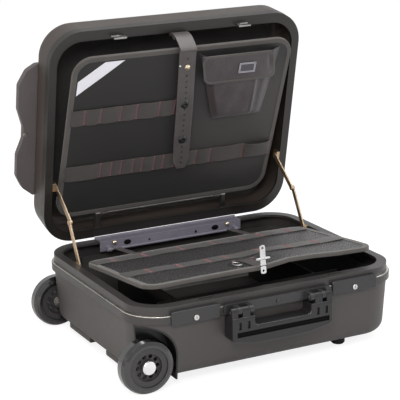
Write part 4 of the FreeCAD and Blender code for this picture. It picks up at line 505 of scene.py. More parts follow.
def round_corners(piece, x, y, radius, steps=6, corners=ALL_CORNERS):
    """Rounds corners by a fan of straight cuts at each."""
    for side_x, side_y in corners:
        middle_x = (x[0] if side_x < 0 else x[1]) - side_x * radius
        middle_y = (y[0] if side_y < 0 else y[1]) - side_y * radius
        for step in range(steps):
            angle = math.radians(90 * (step + 0.5) / steps)
            away = (side_x * math.cos(angle), side_y * math.sin(angle))
            cut(piece, (middle_x + away[0] * radius, middle_y + away[1] * radius), away)


def map_flat(piece):
    """Keeps the flat place of each corner, in metres, as the UV map."""
    layer = piece.data.uv_layers.active or piece.data.uv_layers.new(name="flat")
    for loop in piece.data.loops:
        place = piece.data.vertices[loop.vertex_index].co
        layer.data[loop.index].uv = (place.x, place.y)


def sheet(name, x, y, cells, radius, steps=6, corners=ALL_CORNERS):
    """A mapped grid with round corners."""
    piece = flat(name, x, y, cells)
    round_corners(piece, x, y, radius, steps, corners)
    map_flat(piece)
    return piece


def ring(name, x, y, radius, width, segments=10):
    """A flat tape of a given width along the inside of a rounded outline."""
    only()
    bpy.ops.mesh.primitive_plane_add(size=1)
    piece = named(name)
    edit(piece)
    spread(x, y)
    bpy.ops.mesh.bevel(offset=radius * MM, segments=segments, affect="VERTICES")
    bpy.ops.mesh.select_all(action="SELECT")
    bpy.ops.mesh.inset(thickness=width * MM)
    bpy.ops.mesh.delete(type="FACE")
    bpy.ops.mesh.select_all(action="SELECT")
    bpy.ops.mesh.subdivide(number_cuts=7)
    leave()
    map_flat(piece)
    return piece


print("cutting helpers ready")

# %% Lifting and thickening
def lift(piece, rule):
    """Moves each vertex by a rule in millimetres."""
    for vertex in piece.data.vertices:
        moved = rule(vertex.co.x / MM, vertex.co.y / MM, vertex.co.z / MM)
        vertex.co = [value * MM for value in moved]


def modify(piece, kind, **settings):
    """Adds a modifier and applies it."""
    only(piece)
    modifier = piece.modifiers.new(kind.lower(), kind)
    for key, value in settings.items():
        setattr(modifier, key, value)
    bpy.ops.object.modifier_apply(modifier=modifier.name)


def thicken(piece, thickness, offset=1.0):
    modify(piece, "SOLIDIFY", thickness=thickness * MM, offset=offset)


def round_edges(piece, width, segments=2):
    modify(piece, "BEVEL", width=width * MM, segments=segments, limit_method="ANGLE",
           angle_limit=math.radians(40))


print("shaping helpers ready")

# %% Joining and placing
def join(name, pieces):
    """Makes several meshes one piece."""
    only(pieces[0])
    for piece in pieces:
        piece.select_set(True)
    bpy.ops.object.join()
    pieces[0].name = pieces[0].data.name = name
    return pieces[0]


def place(piece, matrix, finish, body, stands_for=(), smooth=35):
    """Puts a piece into the frame, gives it its finish and hands it to its body.

    A piece that rides on no body has None as its body, and is not attached to any."""
    piece.data.transform(matrix)
    edit(piece)
    bpy.ops.mesh.normals_make_consistent(inside=False)
    leave()
    bpy.ops.object.shade_smooth_by_angle(angle=math.radians(smooth))
    piece.data.materials.clear()
    piece.data.materials.append(finish)
    if body:
        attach(piece, body)
    if stands_for:
        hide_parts(*stands_for)


print("placing helpers ready")

# %% One run of thread
def thread_bar(start, end, radius, height):
    """A straight run of thread at a height over the panel, from start to end."""
    length = math.dist(start, end)
    angle = math.atan2(end[1] - start[1], end[0] - start[0])
    only()
    bpy.ops.mesh.primitive_cylinder_add(vertices=6, radius=radius * MM, depth=length * MM)
    bar = bpy.context.object
    map_flat(bar)
    middle = Vector(((start[0] + end[0]) / 2, (start[1] + end[1]) / 2, height)) * MM
    bar.data.transform(Matrix.Rotation(math.radians(90), 4, "Y"))
    bar.data.transform(Matrix.Rotation(angle, 4, "Z"))
    bar.data.transform(Matrix.Translation(middle))
    return bar


print("thread ready")

# %% [markdown]
# The lid's tool panel is a stiffened board covered in woven nylon. Its cover is never quite flat, so a shallow
# warp is shared by everything that is sewn to it. It could be noise, but a formula can be asked for its height at
# any place, and the rows, the label and the stitches all need that.

# %% Lid panel cover
PANEL_X = (-232.5, 232.5)
PANEL_P = (5.0, 363.0)
PANEL_CORNER = 38
BOARD_BACK = -2.04
BOARD_FRONT = 3.96
COVER_GAP = 5
COVER_THICK = 5.8
CROWN = 0.72
CROWN_SPAN = 480


def panel_warp(x, p):
    """How far the panel's face stands off its plane, in millimetres."""
    up = math.sin(math.pi * (p - PANEL_P[0]) / (PANEL_P[1] - PANEL_P[0]))
    crown = CROWN * math.cos(math.pi * x / CROWN_SPAN) * up
    ripple = 0.18 * math.sin(x / 37 + p / 61) + 0.126 * math.sin(p / 29 - x / 83)
    return crown + ripple * min(1.0, abs(up) * 2)


board = sheet("lid_panel_cover", within(PANEL_X, COVER_GAP), within(PANEL_P, COVER_GAP), (60, 46),
              PANEL_CORNER - COVER_GAP)
lift(board, lambda x, p, q: (x, p, BOARD_BACK + q + panel_warp(x, p)))
thicken(board, COVER_THICK)
place(board, ON_LID_PANEL, NYLON, "lid_panel", ["lid_panel_board"])

# %% [markdown]
# Tape is folded round the board's edge and sewn down. It could be swept along a curve, but a plane whose corners
# are bevelled and whose middle is inset away gives the same band, and its flat map comes with it.

# %% Lid panel binding
TAPE_WIDTH = 9.5
TAPE_THICK = 7.6
TAPE_ROUND = 2.2

tape = ring("lid_panel_tape", PANEL_X, PANEL_P, PANEL_CORNER, TAPE_WIDTH)
lift(tape, lambda x, p, q: (x, p, BOARD_BACK - 1 + q + panel_warp(x, p)))
thicken(tape, TAPE_THICK)
round_edges(tape, TAPE_ROUND, 3)
place(tape, ON_LID_PANEL, TAPE, "lid_panel", ["lid_panel_binding"])
print("binding", len(tape.data.polygons))

# %% [markdown]
# Elastic webbing is sewn down at intervals, and between two seams it stands off in a loop that holds a tool. One
# loop could be modelled and copied, but no two are the same length. So each row is one long grid: the rule arches
# it between its seams and draws its edges in a little where it is sewn. The lower row's last wide loop is slack.

# %% Elastic rows
UPPER_SEAMS = (-0.97, -0.855, -0.715, -0.535, -0.39, -0.185, -0.045)
LOWER_SEAMS = (-0.97, -0.65, -0.55, -0.46, -0.35, -0.265, -0.155, -0.07, 0.03, 0.245, 0.38, 0.705, 0.97)
UPPER_LOW, LOWER_LOW = 218.0, 92.0
ROW_HEIGHT = 34.0
ROW_THICK = 1.6
ROW_CELL = 2.2
ARCH_MOST = 3.0
ARCH_SHARE = 0.1
SLACK_FROM = 150
SLACK_ARCH = 2.6
SEAM_REACH = 7.0
DRAWN_IN = 0.06


def row_rule(seams, low):
    """The lie of a sewn elastic row."""
    places = [PANEL_X[1] * share for share in seams]
    middle = low + ROW_HEIGHT / 2

    def rule(x, p, q):
        arch, pinch = 0.0, 1.0
        for left, right in zip(places, places[1:]):
            if left <= x <= right:
                part = (x - left) / (right - left)
                arch = min(ARCH_MOST, (right - left) * ARCH_SHARE) * (4 * part * (1 - part)) ** 0.55
                if left > SLACK_FROM:
                    arch *= SLACK_ARCH * (0.5 + 0.9 * (p - low) / ROW_HEIGHT)
                pinch = min(1.0, min(x - left, right - x) / SEAM_REACH)
        sag = 0.5 * math.sin(x / 23) + 0.35 * math.sin(x / 9.1 + low)
        drawn = middle + (p - middle) * (1 - DRAWN_IN + DRAWN_IN * pinch) + sag * pinch
        curl = 0.54 * abs((p - middle) / (ROW_HEIGHT / 2)) ** 3 * pinch
        return (x, drawn, BOARD_FRONT + 0.3 + q + arch - curl + panel_warp(x, p))

    return rule


def elastic_row(name, seams, low):
    """A grid from the first seam to the last, laid by its rule."""
    x = (PANEL_X[1] * seams[0], PANEL_X[1] * seams[-1])
    row = flat(name, x, (low, low + ROW_HEIGHT), (int((x[1] - x[0]) / ROW_CELL), 10))
    map_flat(row)
    lift(row, row_rule(seams, low))
    thicken(row, ROW_THICK)
    return row


rows = join("elastic_bands", [elastic_row("row_upper", UPPER_SEAMS, UPPER_LOW),
                              elastic_row("row_lower", LOWER_SEAMS, LOWER_LOW)])
place(rows, ON_LID_PANEL, ELASTIC, "lid_panel", ["elastic_rows"], smooth=50)
print("rows", len(UPPER_SEAMS), len(LOWER_SEAMS))

# %% [markdown]
# Each seam is two zigzag lines of red thread with a bar across at both ends. The colour could be painted into the
# elastic, but thread stands off the cloth, so each run is a small six-sided bar of its own.

# %% Stitches of the rows
RUNS = 6
RUN_PITCH = 5.2
RUN_LENGTH = 4.4
SEAM_SIDE = 0.9
SEAM_FACE = BOARD_FRONT + 2.3
BAR_HALF = 2.6
BAR_INSET = 1.6
SEAM_THREAD, BAR_THREAD = 0.62, 0.7

seam_threads = []
for seams, low in ((UPPER_SEAMS, UPPER_LOW), (LOWER_SEAMS, LOWER_LOW)):
    for share in seams[1:]:
        x = PANEL_X[1] * share
        for side in (-SEAM_SIDE, SEAM_SIDE):
            for run in range(RUNS):
                start = low + 2 + run * RUN_PITCH
                ends = (x + side, start), (x - side * 0.4, start + RUN_LENGTH)
                seam_threads.append(thread_bar(*ends, SEAM_THREAD, SEAM_FACE + panel_warp(x, start)))
        for edge in within((low, low + ROW_HEIGHT), BAR_INSET):
            ends = (x - BAR_HALF, edge), (x + BAR_HALF, edge)
            seam_threads.append(thread_bar(*ends, BAR_THREAD, SEAM_FACE + 0.1 + panel_warp(x, edge)))
seam_threads = join("row_stitches", seam_threads)
place(seam_threads, ON_LID_PANEL, THREAD, "lid_panel")
print("seam threads", len(seam_threads.data.polygons))

# %% [markdown]
# A corner of pale sheet is sewn across the panel's upper left corner. It could be a decal on the cover, but its
# edges catch the light, so it is a thin sheet that is cut to its four corners and follows the cover's warp.

# %% Corner label
LABEL_CORNERS = [(-221.0, 284.2), (-130.2, 351.4), (-169.7, 351.4), (-221.0, 314.0)]
LABEL_THICK = 0.6

label = flat("corner_band", (-221, -130), (284, 351.5), (24, 18))
cut_to(label, LABEL_CORNERS)
map_flat(label)
lift(label, lambda x, p, q: (x, p, BOARD_FRONT + 0.3 + q + panel_warp(x, p)))
thicken(label, LABEL_THICK)
place(label, ON_LID_PANEL, LABEL, "lid_panel", ["corner_label"])
print("label", len(label.data.polygons))

# %% [markdown]
# The pocket is cut from coated nylon. Its front is a tapered sheet that rises steeply at its left edge, has a
# crease, and falls back to the board in pleats at its right. It could be inflated as cloth, but the pleats would
# land anywhere, and a rule puts them where they are.

# %% Pocket
POCKET = [(76.7, 198.5), (186.0, 196.0), (202.0, 344.7), (27.9, 347.3)]
POCKET_FOOT, POCKET_HEIGHT = 197, 149
POCKET_RISE = 14.5
POCKET_THICK = 1.2
STEEP_EDGE = 0.07
CREASE = 0.71
CREASE_WIDTH = 0.02
PLEAT = 0.20


def pocket_shares(x, p):
    """The shares of the way across and up the tapered front, each from 0 to 1."""
    up = min(1.0, max(0.0, (p - POCKET_FOOT) / POCKET_HEIGHT))
    left = POCKET[0][0] + (POCKET[3][0] - POCKET[0][0]) * up
    right = POCKET[1][0] + (POCKET[2][0] - POCKET[1][0]) * up
    return min(1.0, max(0.0, (x - left) / (right - left))), up


def pocket_rule(x, p, q):
    """A broad front with a steep left edge, a crease, and a pleated side that falls back to the board."""
    across, up = pocket_shares(x, p)
    if across < CREASE:
        rise = min(1.0, across / STEEP_EDGE) ** 0.5 * (0.9 + 0.1 * across / CREASE)
    else:
        back = (across - CREASE) / (1 - CREASE)
        pleat = PLEAT * math.sin(2.6 * math.pi * back) * (0.3 + 0.7 * up)
        rise = max(0.0, (1 - back) ** 0.8 - pleat * min(1.0, (1 - back) * 4))
    slack = 0.25 * math.sin(p / 9 + across * 7) + 0.2 * math.sin(x / 7 - p / 19)
    ridge = 0.8 * math.exp(-((across - CREASE) / CREASE_WIDTH) ** 2)
    foot = min(1.0, up * 9) ** 0.6
    return (x, p, BOARD_FRONT + 0.6 + q + (POCKET_RISE * rise + (slack + ridge) * min(1, rise)) * foot)


pouch = flat("pocket_front", (27, 203), (195, 349), (96, 76))
cut_to(pouch, POCKET)
map_flat(pouch)
lift(pouch, pocket_rule)
thicken(pouch, POCKET_THICK)
place(pouch, ON_LID_PANEL, COATED, "lid_panel", ["pocket_body"], smooth=60)
print("pocket", len(pouch.data.polygons))

# %% [markdown]
# The flap hangs over the pocket's mouth from a seam at the top. It leans as it hangs, and its corner curls back. It
# rides on the flap's own body, so that it can be folded up, with the tape round its edge and the bare plate.

# %% Pocket flap and its tape
FLAP_X = (20.9, 186.0)
FLAP_P = (288.3, 350.3)
FLAP_CORNER = 14
FLAP_BACK = BOARD_FRONT + 17.8
FLAP_THICK = 1.5
FLAP_LEFT_LEAN = (3.0, 17.0)
FLAP_RIGHT_LEAN = (-7.0, 10.0)
CURL_FROM, CURL_BACK = 0.86, 5.0
DENT_AT, DENT_DEPTH = (0.93, 0.45), 2.2
EDGE_TAPE_OUT = 0.6
EDGE_TAPE_WIDTH = 5
EDGE_TAPE_THICK = 2.4


def flap_rule(x, p, q):
    """The flap leans to the right as it hangs, ripples a little and curls back at its right edge."""
    across = (x - FLAP_X[0]) / (FLAP_X[1] - FLAP_X[0])
    down = (FLAP_P[1] - p) / (FLAP_P[1] - FLAP_P[0])
    left = FLAP_LEFT_LEAN[0] + (FLAP_LEFT_LEAN[1] - FLAP_LEFT_LEAN[0]) * down
    right = FLAP_RIGHT_LEAN[0] + (FLAP_RIGHT_LEAN[1] - FLAP_RIGHT_LEAN[0]) * down
    wave = 0.7 * math.sin(across * 9 + down * 2) * down
    curl = CURL_BACK * max(0.0, (across - CURL_FROM) / (1 - CURL_FROM)) ** 2 * down
    dent = DENT_DEPTH * math.exp(-((across - DENT_AT[0]) / 0.03) ** 2 - ((down - DENT_AT[1]) / 0.25) ** 2)
    return (x + left * (1 - across) + right * across, p, FLAP_BACK + q + wave - curl - dent)


def flap_face(x, p, q):
    """The height of the flap at a place that doesn't lean with it."""
    return flap_rule(x, p, q)[2]


cover = sheet("pocket_cover", FLAP_X, FLAP_P, (56, 24), FLAP_CORNER, 5, LOW_CORNERS)
lift(cover, flap_rule)
thicken(cover, FLAP_THICK)
round_edges(cover, 0.5)
place(cover, ON_LID_PANEL, COATED, "pocket_flap", ["pocket_flap"], smooth=50)

edge_tape = ring("pocket_cover_tape", within(FLAP_X, -EDGE_TAPE_OUT), (FLAP_P[0] - EDGE_TAPE_OUT, FLAP_P[1]),
                 FLAP_CORNER, EDGE_TAPE_WIDTH, 6)
lift(edge_tape, lambda x, p, q: (flap_rule(x, p, q)[0], p, flap_face(x, p, q) - 0.4))
thicken(edge_tape, EDGE_TAPE_THICK)
round_edges(edge_tape, 0.8)
place(edge_tape, ON_LID_PANEL, TAPE, "pocket_flap")
print("flap", len(cover.data.polygons))

# %% Bare plate on the flap
PLATE_X = (106.95, 144.15)
PLATE_P = (306.0, 329.5)
PLATE_CORNER = 1.75
PLATE_THICK = 0.8
LINE_GAPS = (0.9, 3.0)
LINE_CORNER, LINE_WIDTH, LINE_THICK = 1.2, 0.8, 0.16

plate = sheet("cover_plate", PLATE_X, PLATE_P, (18, 10), PLATE_CORNER, 3)
lift(plate, lambda x, p, q: (x, p, flap_face(x, p, q) + FLAP_THICK + 0.1))
thicken(plate, PLATE_THICK)
round_edges(plate, 0.25)
place(plate, ON_LID_PANEL, PLATE, "pocket_flap", ["pocket_plate"])
for number, gap in enumerate(LINE_GAPS):
    line = ring(f"plate_line_{number}", within(PLATE_X, gap), within(PLATE_P, gap), LINE_CORNER, LINE_WIDTH, 3)
    lift(line, lambda x, p, q: (x, p, flap_face(x, p, q) + FLAP_THICK + PLATE_THICK + 0.15))
    thicken(line, LINE_THICK)
    place(line, ON_LID_PANEL, LABEL_EDGE, "pocket_flap")
print("plate and its lines", len(LINE_GAPS))

# %% [markdown]
# A strap comes over the panel's top edge from the lid's rim and hangs down its front to a point. It slants a
# little, so its rule moves each row of the grid to the strap's middle line at that height.

# %% Holding strap
STRAP_TOP = (-4.65, 363.0)
STRAP_LOW = (22.1, 92.0)
STRAP_HALF = 17.8
STRAP_THICK = 2.1
STRAP_BACK = BOARD_FRONT + 8.6
STRAP_OVER = 3
POINT_HALF = 9.0
POINT_SLOPE = (0.894, -0.447)


def strap_middle(p):
    """Where the strap's middle line is at a height."""
    return STRAP_LOW[0] + (STRAP_TOP[0] - STRAP_LOW[0]) * (p - STRAP_LOW[1]) / (STRAP_TOP[1] - STRAP_LOW[1])


def strap_bow(p):
    return 0.5 * math.sin(p / 31)


def strap_rule(x, p, q):
    """Bowed along its length and a little hollow across it."""
    return (strap_middle(p) + x, p, STRAP_BACK + 0.1 + q + strap_bow(p) - 0.35 * (x / STRAP_HALF) ** 2)


strap = flat("holding_strap", (-STRAP_HALF, STRAP_HALF), (STRAP_LOW[1], STRAP_TOP[1] + STRAP_OVER), (12, 110))
cut(strap, (0, STRAP_LOW[1]), (0, -1))
for side in (-1, 1):
    cut(strap, (side * POINT_HALF, STRAP_LOW[1]), (side * POINT_SLOPE[0], POINT_SLOPE[1]))
map_flat(strap)
lift(strap, strap_rule)
thicken(strap, STRAP_THICK)
round_edges(strap, 0.5)
place(strap, ON_LID_PANEL, STRAP, "lid_panel", ["panel_strap"], smooth=50)
print("strap", len(strap.data.polygons))

# %% [markdown]
# Two black domed buttons, a gilt stud, a small pin and a row of punched holes sit on the strap. The metal pieces
# are turned, so each is a profile that is spun about its axis. The holes could be cut through, but nothing shows
# behind them, so each is a thin black disc on the face, which paints the shade of the hole.

# %% A turned piece
def spun(name, profile, steps=28):
    """A turned piece about its own upright axis, from (radius, height)."""
    only()
    bpy.ops.mesh.primitive_circle_add(vertices=3, radius=MM)
    piece = named(name)
    piece.data.clear_geometry()
    piece.data.from_pydata([(radius * MM, 0, height * MM) for radius, height in profile],
                           [(index, index + 1) for index in range(len(profile) - 1)], [])
    edit(piece)
    bpy.ops.mesh.spin(steps=steps, angle=2 * math.pi, center=(0, 0, 0), axis=(0, 0, 1))
    bpy.ops.mesh.select_all(action="SELECT")
    bpy.ops.mesh.remove_doubles(threshold=0.000002)
    bpy.ops.mesh.normals_make_consistent(inside=False)
    leave()
    return piece


def on_strap(piece, p, height=STRAP_THICK, aside=0):
    """Sets a turned piece on the strap, at its middle line or aside of it."""
    at = Vector((strap_middle(p) + aside, p, STRAP_BACK + height)) * MM
    piece.data.transform(Matrix.Translation(at))
    return piece


print("turned pieces can be made")

# %% Buttons, stud, pin and holes
DOME = [(0.0, 2.4), (1.8, 2.5), (3.6, 3.2), (5.4, 3.3), (7.0, 2.2), (8.3, 0.8), (9.0, 0.4), (9.0, 0.0), (0.0, 0.0)]
STUD = [(0.0, 2.4), (2.2, 2.2), (3.6, 1.5), (4.2, 0.9), (5.4, 0.8), (5.8, 0.4), (5.8, 0.0), (0.0, 0.0)]
PIN = [(0.0, 1.6), (1.1, 1.3), (1.9, 0.4), (2.0, 0.0), (0.0, 0.0)]
HOLE = [(0.0, 0.12), (1.9, 0.12), (2.0, 0.0), (0.0, 0.0)]
DOME_PLACES = [share * STRAP_TOP[1] for share in (0.67, 0.445)]
STUD_PLACE = 0.9 * STRAP_TOP[1]
PIN_PLACE, PIN_ASIDE = 331, -15.6
HOLE_FIRST, HOLE_PITCH, HOLE_COUNT, HOLE_CLEAR = 106, 12.6, 20, 10

domes = join("strap_domes", [on_strap(spun("dome", DOME), p) for p in DOME_PLACES])
place(domes, ON_LID_PANEL, HANDLE, "lid_panel", ["strap_studs"], smooth=50)
place(on_strap(spun("strap_stud", STUD), STUD_PLACE), ON_LID_PANEL, GILT, "lid_panel", smooth=40)
place(on_strap(spun("strap_pin", PIN, 16), PIN_PLACE, aside=PIN_ASIDE), ON_LID_PANEL, CAP, "lid_panel")

holes = []
for p in [HOLE_FIRST + number * HOLE_PITCH for number in range(HOLE_COUNT)]:
    if all(abs(p - taken) > HOLE_CLEAR for taken in DOME_PLACES + [STUD_PLACE]):
        holes.append(on_strap(spun("hole", HOLE, 14), p, STRAP_THICK + 0.05 + strap_bow(p)))
# Thin black discs of painted shade stand for the punched holes.
place(join("strap_holes", holes), ON_LID_PANEL, BLACK, "lid_panel")
print("holes", len(holes))

# %% [markdown]
# The tool panel in the base lies a little raised at its front. Its cover has a coarse weave that catches the light
# at a low angle, and its front edge bows up beside the clasp. Two bands cross it, and tape binds it all round.

# %% Base panel cover and tape
BASE_X = (-235.0, 235.0)
BASE_Y = (-368.0, -93.0)
BASE_CORNER = 28
BASE_BACK = -1.5
BASE_TOP = 6.5
BASE_TAPE_WIDTH = 12.0
BASE_TAPE_THICK = 7.7
CLASP_X = -5.0
BOW_X, BOW_WIDTH, BOW_HEIGHT = 60, 75, 6.0
CLASP_CLEAR, CLASP_FADE = 15, 45


def base_warp(x, y):
    """How far the base panel's face stands off its plane; it stays flat round the clasp."""
    front = (BASE_Y[1] - y) / (BASE_Y[1] - BASE_Y[0])
    aside = min(1.0, max(0.0, abs(x - CLASP_X) - CLASP_CLEAR) / CLASP_FADE)
    bow = BOW_HEIGHT * math.exp(-((x - BOW_X) / BOW_WIDTH) ** 2) * front ** 2 * aside * aside * (3 - 2 * aside)
    ripple = 0.36 * math.sin(x / 31 + y / 47) + 0.24 * math.sin(x / 17 - y / 23)
    return bow + ripple * aside


base_board = sheet("base_panel_cover", within(BASE_X, COVER_GAP), within(BASE_Y, COVER_GAP), (72, 44),
                   BASE_CORNER - COVER_GAP)
lift(base_board, lambda x, y, z: (x, y, BASE_BACK + 1 + z + base_warp(x, y)))
thicken(base_board, COVER_THICK)
place(base_board, ON_BASE_PANEL, MESH, "base_panel", ["base_panel_board"])

base_tape = ring("base_panel_tape", BASE_X, BASE_Y, BASE_CORNER, BASE_TAPE_WIDTH)
lift(base_tape, lambda x, y, z: (x, y, BASE_BACK + z + base_warp(x, y)))
thicken(base_tape, BASE_TAPE_THICK)
round_edges(base_tape, 2.4, 3)
place(base_tape, ON_BASE_PANEL, TAPE, "base_panel", ["base_panel_binding"])

# %% [markdown]
# The bands and the clasp's strap lie on the cover. Each is a flat grid that takes the cover's warp, so that it
# never sinks into it, and that puffs a little between its rows of stitches.

# %% Bands and clasp strap
BAND_MIDDLES = (-124.5, -258.5)
BAND_HALF = 18
BAND_THICK = 1.2
BAND_BACK = BASE_TOP - 1
BAND_PUFF = 0.9
CLASP_STRAP_HALF = 13
CLASP_STRAP_Y = (-360.5, -296.7)
CLASP_STRAP_THICK = 1.1


def band(name, x, y, thickness, height, cells):
    """A flat tape that lies on the base panel at a height over its plane."""
    piece = flat(name, x, y, cells)
    map_flat(piece)
    middle, half = (y[0] + y[1]) / 2, (y[1] - y[0]) / 2

    def rule(at_x, at_y, z):
        puff = BAND_PUFF * abs(math.sin(at_x / 19)) ** 0.6
        edge = 0.25 * abs((at_y - middle) / half) ** 3
        return (at_x, at_y, height + z + base_warp(at_x, at_y) + puff - edge)

    lift(piece, rule)
    thicken(piece, thickness)
    round_edges(piece, 0.3)
    return piece


bands = [band(f"tool_band_{number}", within(BASE_X, 6), (middle - BAND_HALF, middle + BAND_HALF), BAND_THICK,
              BAND_BACK, (150, 8))
         for number, middle in enumerate(BAND_MIDDLES)]
clasp_strap = band("panel_clasp_strap", (CLASP_X - CLASP_STRAP_HALF, CLASP_X + CLASP_STRAP_HALF), CLASP_STRAP_Y,
                   CLASP_STRAP_THICK, BAND_BACK + 0.1, (14, 30))
place(clasp_strap, ON_BASE_PANEL, STRAP, "base_panel", smooth=50)
place(join("tool_bands", bands), ON_BASE_PANEL, BAND, "base_panel", ["base_panel_bands"], smooth=50)
print("bands", len(BAND_MIDDLES))

# %% [markdown]
# Beside the clasp lies an oval rubber patch with a wire ring. A flat oval is also what the hinge's holes need, so
# one function makes them all. The ring is a torus, stretched along the panel.

# %% Patch and ring
PATCH_MIDDLE = (-34.0, -322.0)
PATCH_REACH = (13.5, 20.0)
PATCH_THICK = 0.7
WIRE_RADIUS, WIRE_THICK = 7.6, 0.85
WIRE_STRETCH = (1.05, 1.7)


def oval(name, middle, reach, height, thickness, steps=26):
    """A flat oval plate, reach[0] and reach[1] from its middle to its ends."""
    only()
    bpy.ops.mesh.primitive_circle_add(vertices=steps, radius=1, fill_type="NGON")
    piece = named(name)
    edit(piece)
    bpy.ops.transform.resize(value=(reach[0] * MM, reach[1] * MM, 1))
    bpy.ops.transform.translate(value=(middle[0] * MM, middle[1] * MM, height * MM))
    leave()
    map_flat(piece)
    thicken(piece, thickness)
    round_edges(piece, 0.3)
    return piece


patch = oval("panel_patch", PATCH_MIDDLE, PATCH_REACH, BAND_BACK, PATCH_THICK)
place(patch, ON_BASE_PANEL, RUBBER, "base_panel")
only()
bpy.ops.mesh.primitive_torus_add(major_radius=WIRE_RADIUS * MM, minor_radius=WIRE_THICK * MM, major_segments=40,
                                 minor_segments=10)
wire = named("panel_patch_ring")
wire.data.transform(Matrix.Translation(Vector((PATCH_MIDDLE[0] + 1.5, PATCH_MIDDLE[1], BASE_TOP + 0.5)) * MM)
                    @ Matrix.Diagonal((*WIRE_STRETCH, 1, 1)))
place(wire, ON_BASE_PANEL, CAP, "base_panel")
print("patch", len(patch.data.polygons), "ring", len(wire.data.polygons))

# %% [markdown]
# Two straps hold the panel's back edge to the hinge. When the panel is swung up they bend, but here they ride on
# no body: each lies flat at the hinge and climbs on to the panel's cover.

# %% Hinge straps of the base panel
HINGE_STRAP_X = 126
HINGE_STRAP_HALF = 7.5
HINGE_STRAP_Y = (-104, -4)
HINGE_STRAP_THICK = 1.4
CLIMB_FROM, CLIMB_LENGTH, CLIMB_HEIGHT = 70, 25, 5.0


def hinge_strap_rule(x, y, z):
    """Flat at the hinge, and climbing on to the panel's cover."""
    climb = min(1.0, max(0.0, (-y - CLIMB_FROM) / CLIMB_LENGTH)) ** 2
    return (x, y, 1.3 + CLIMB_HEIGHT * climb + z + 0.5 * math.sin(y / 13))


hinge_straps = []
for side in (-1, 1):
    middle = side * HINGE_STRAP_X
    strip = flat("hinge_strap", (middle - HINGE_STRAP_HALF, middle + HINGE_STRAP_HALF), HINGE_STRAP_Y, (8, 40))
    map_flat(strip)
    lift(strip, hinge_strap_rule)
    thicken(strip, HINGE_STRAP_THICK)
    round_edges(strip, 0.35)
    hinge_straps.append(strip)
hinge_straps = join("hinge_straps", hinge_straps)
place(hinge_straps, ON_BASE_PANEL, STRAP, None, ["base_panel_straps"], smooth=50)
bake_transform(hinge_straps)

# %% Tacks of the base panel
TACK_XS = ((-190, -126, -48, 22, 84, 126, 190), (-180, -118, -60, -22, 48, 110, 170))
TACK_SIDES = (-2.2, 0.0, 2.2)
TACK_RUNS = 5
TACK_PITCH, TACK_LENGTH = 6.6, 5.0
TACK_THREAD, CROSS_THREAD = 0.65, 0.5
CROSSES = ((CLASP_X - 22, -300), (CLASP_X + 18, -300))
CROSS_PITCH = 1.5
CROSS_RUN = (1.2, 3)

tacks = []
for middle, places in zip(BAND_MIDDLES, TACK_XS):
    for x in places:
        for side in TACK_SIDES:
            for run in range(TACK_RUNS):
                start = middle - 16 + run * TACK_PITCH
                ends = (x + side, start), (x + side * 0.5, start + TACK_LENGTH)
                tacks.append(thread_bar(*ends, TACK_THREAD, BASE_TOP + 0.7 + base_warp(x, start)))
for x, y in CROSSES:
    for step in range(-2, 3):
        at = x + step * CROSS_PITCH
        ends = (at - CROSS_RUN[0], y - CROSS_RUN[1]), (at + CROSS_RUN[0], y + CROSS_RUN[1])
        tacks.append(thread_bar(*ends, CROSS_THREAD, BASE_TOP + 0.5 + base_warp(x, y)))
tacks = join("base_panel_tacks", tacks)
place(tacks, ON_BASE_PANEL, THREAD, "base_panel")
print("tacks", len(tacks.data.polygons))

# %% [markdown]
# The holding strap turns over the panel's top edge and reaches the lid's rim in one soft loop. A strip of grid
# follows a smooth curve for that. When the case shuts, the panel leans back into the lid, so the loop rides on no
# body of its own.

# %% Strap loop
LOOP_SIDE = [(121.8, 560.0), (110.0, 560.8), (97.0, 556.0), (85.0, 546.0), (76.0, 536.5), (73.6, 531.8)]
LOOP_HALF, LOOP_THICK = 17.4, 2.0
LOOP_BEND = ((118.5, 560.5), (78.0, 538.0))
FOLD_SIDE = [(121.8, 557.0), (114.0, 557.4), (108.0, 555.0), (104.5, 550.5)]
FOLD_HALF, FOLD_THICK = 17.0, 1.8
LOOP_X = MIDDLE_X + STRAP_TOP[0]


def curve(points, steps):
    """Points along a smooth curve through the given ones."""
    out = []
    ends = [points[0]] + list(points) + [points[-1]]
    for number in range(len(points) - 1):
        p0, p1, p2, p3 = (Vector(point) for point in ends[number:number + 4])
        for step in range(steps):
            t = step / steps
            out.append(tuple(0.5 * (2 * p1 + (p2 - p0) * t + (2 * p0 - 5 * p1 + 4 * p2 - p3) * t * t
                                    + (3 * p1 - p0 - 3 * p2 + p3) * t ** 3)))
    out.append(tuple(points[-1]))
    return out


def ribbon(name, middle, path, half, thickness):
    """A strip that follows a path of (y, z), half wide to each side of its middle."""
    steps = len(path) - 1
    piece = flat(name, (-half, half), (0, steps * 10), (8, steps))
    map_flat(piece)

    def rule(x, y, z):
        return (middle + x, *path[int(round(y / 10))])

    lift(piece, rule)
    thicken(piece, thickness, 0.0)
    return piece


loop = ribbon("strap_loop", LOOP_X, curve(LOOP_SIDE, 5), LOOP_HALF, LOOP_THICK)
place(loop, Matrix(), STRAP, None, ["strap_bridge"], smooth=50)
loop_start, loop_end = ((LOOP_X * MM, y * MM, z * MM) for y, z in LOOP_BEND)
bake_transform(loop)
fold = ribbon("strap_fold", LOOP_X, curve(FOLD_SIDE, 4), FOLD_HALF, FOLD_THICK)
place(fold, Matrix(), STRAP, "lid", smooth=50)
print("loop bends from", loop_start, "to", loop_end)

# %% [markdown]
# A cloth tab stands inside the base's front edge, where the clasp catches, and two cloth eyes, each a strip bent
# round in a circle, hold the lid's panel to its rod.

# %% Tab and eyes
TAB_Y, TAB_Z = -216.0, 131.8
TAB_X = (-17, 17)
TAB_HEIGHT = (0, 21.8)
EYE_X = 126
EYE_RADIUS, EYE_HALF, EYE_THICK = 3.6, 7, 1.5
EYE_STEPS = 24


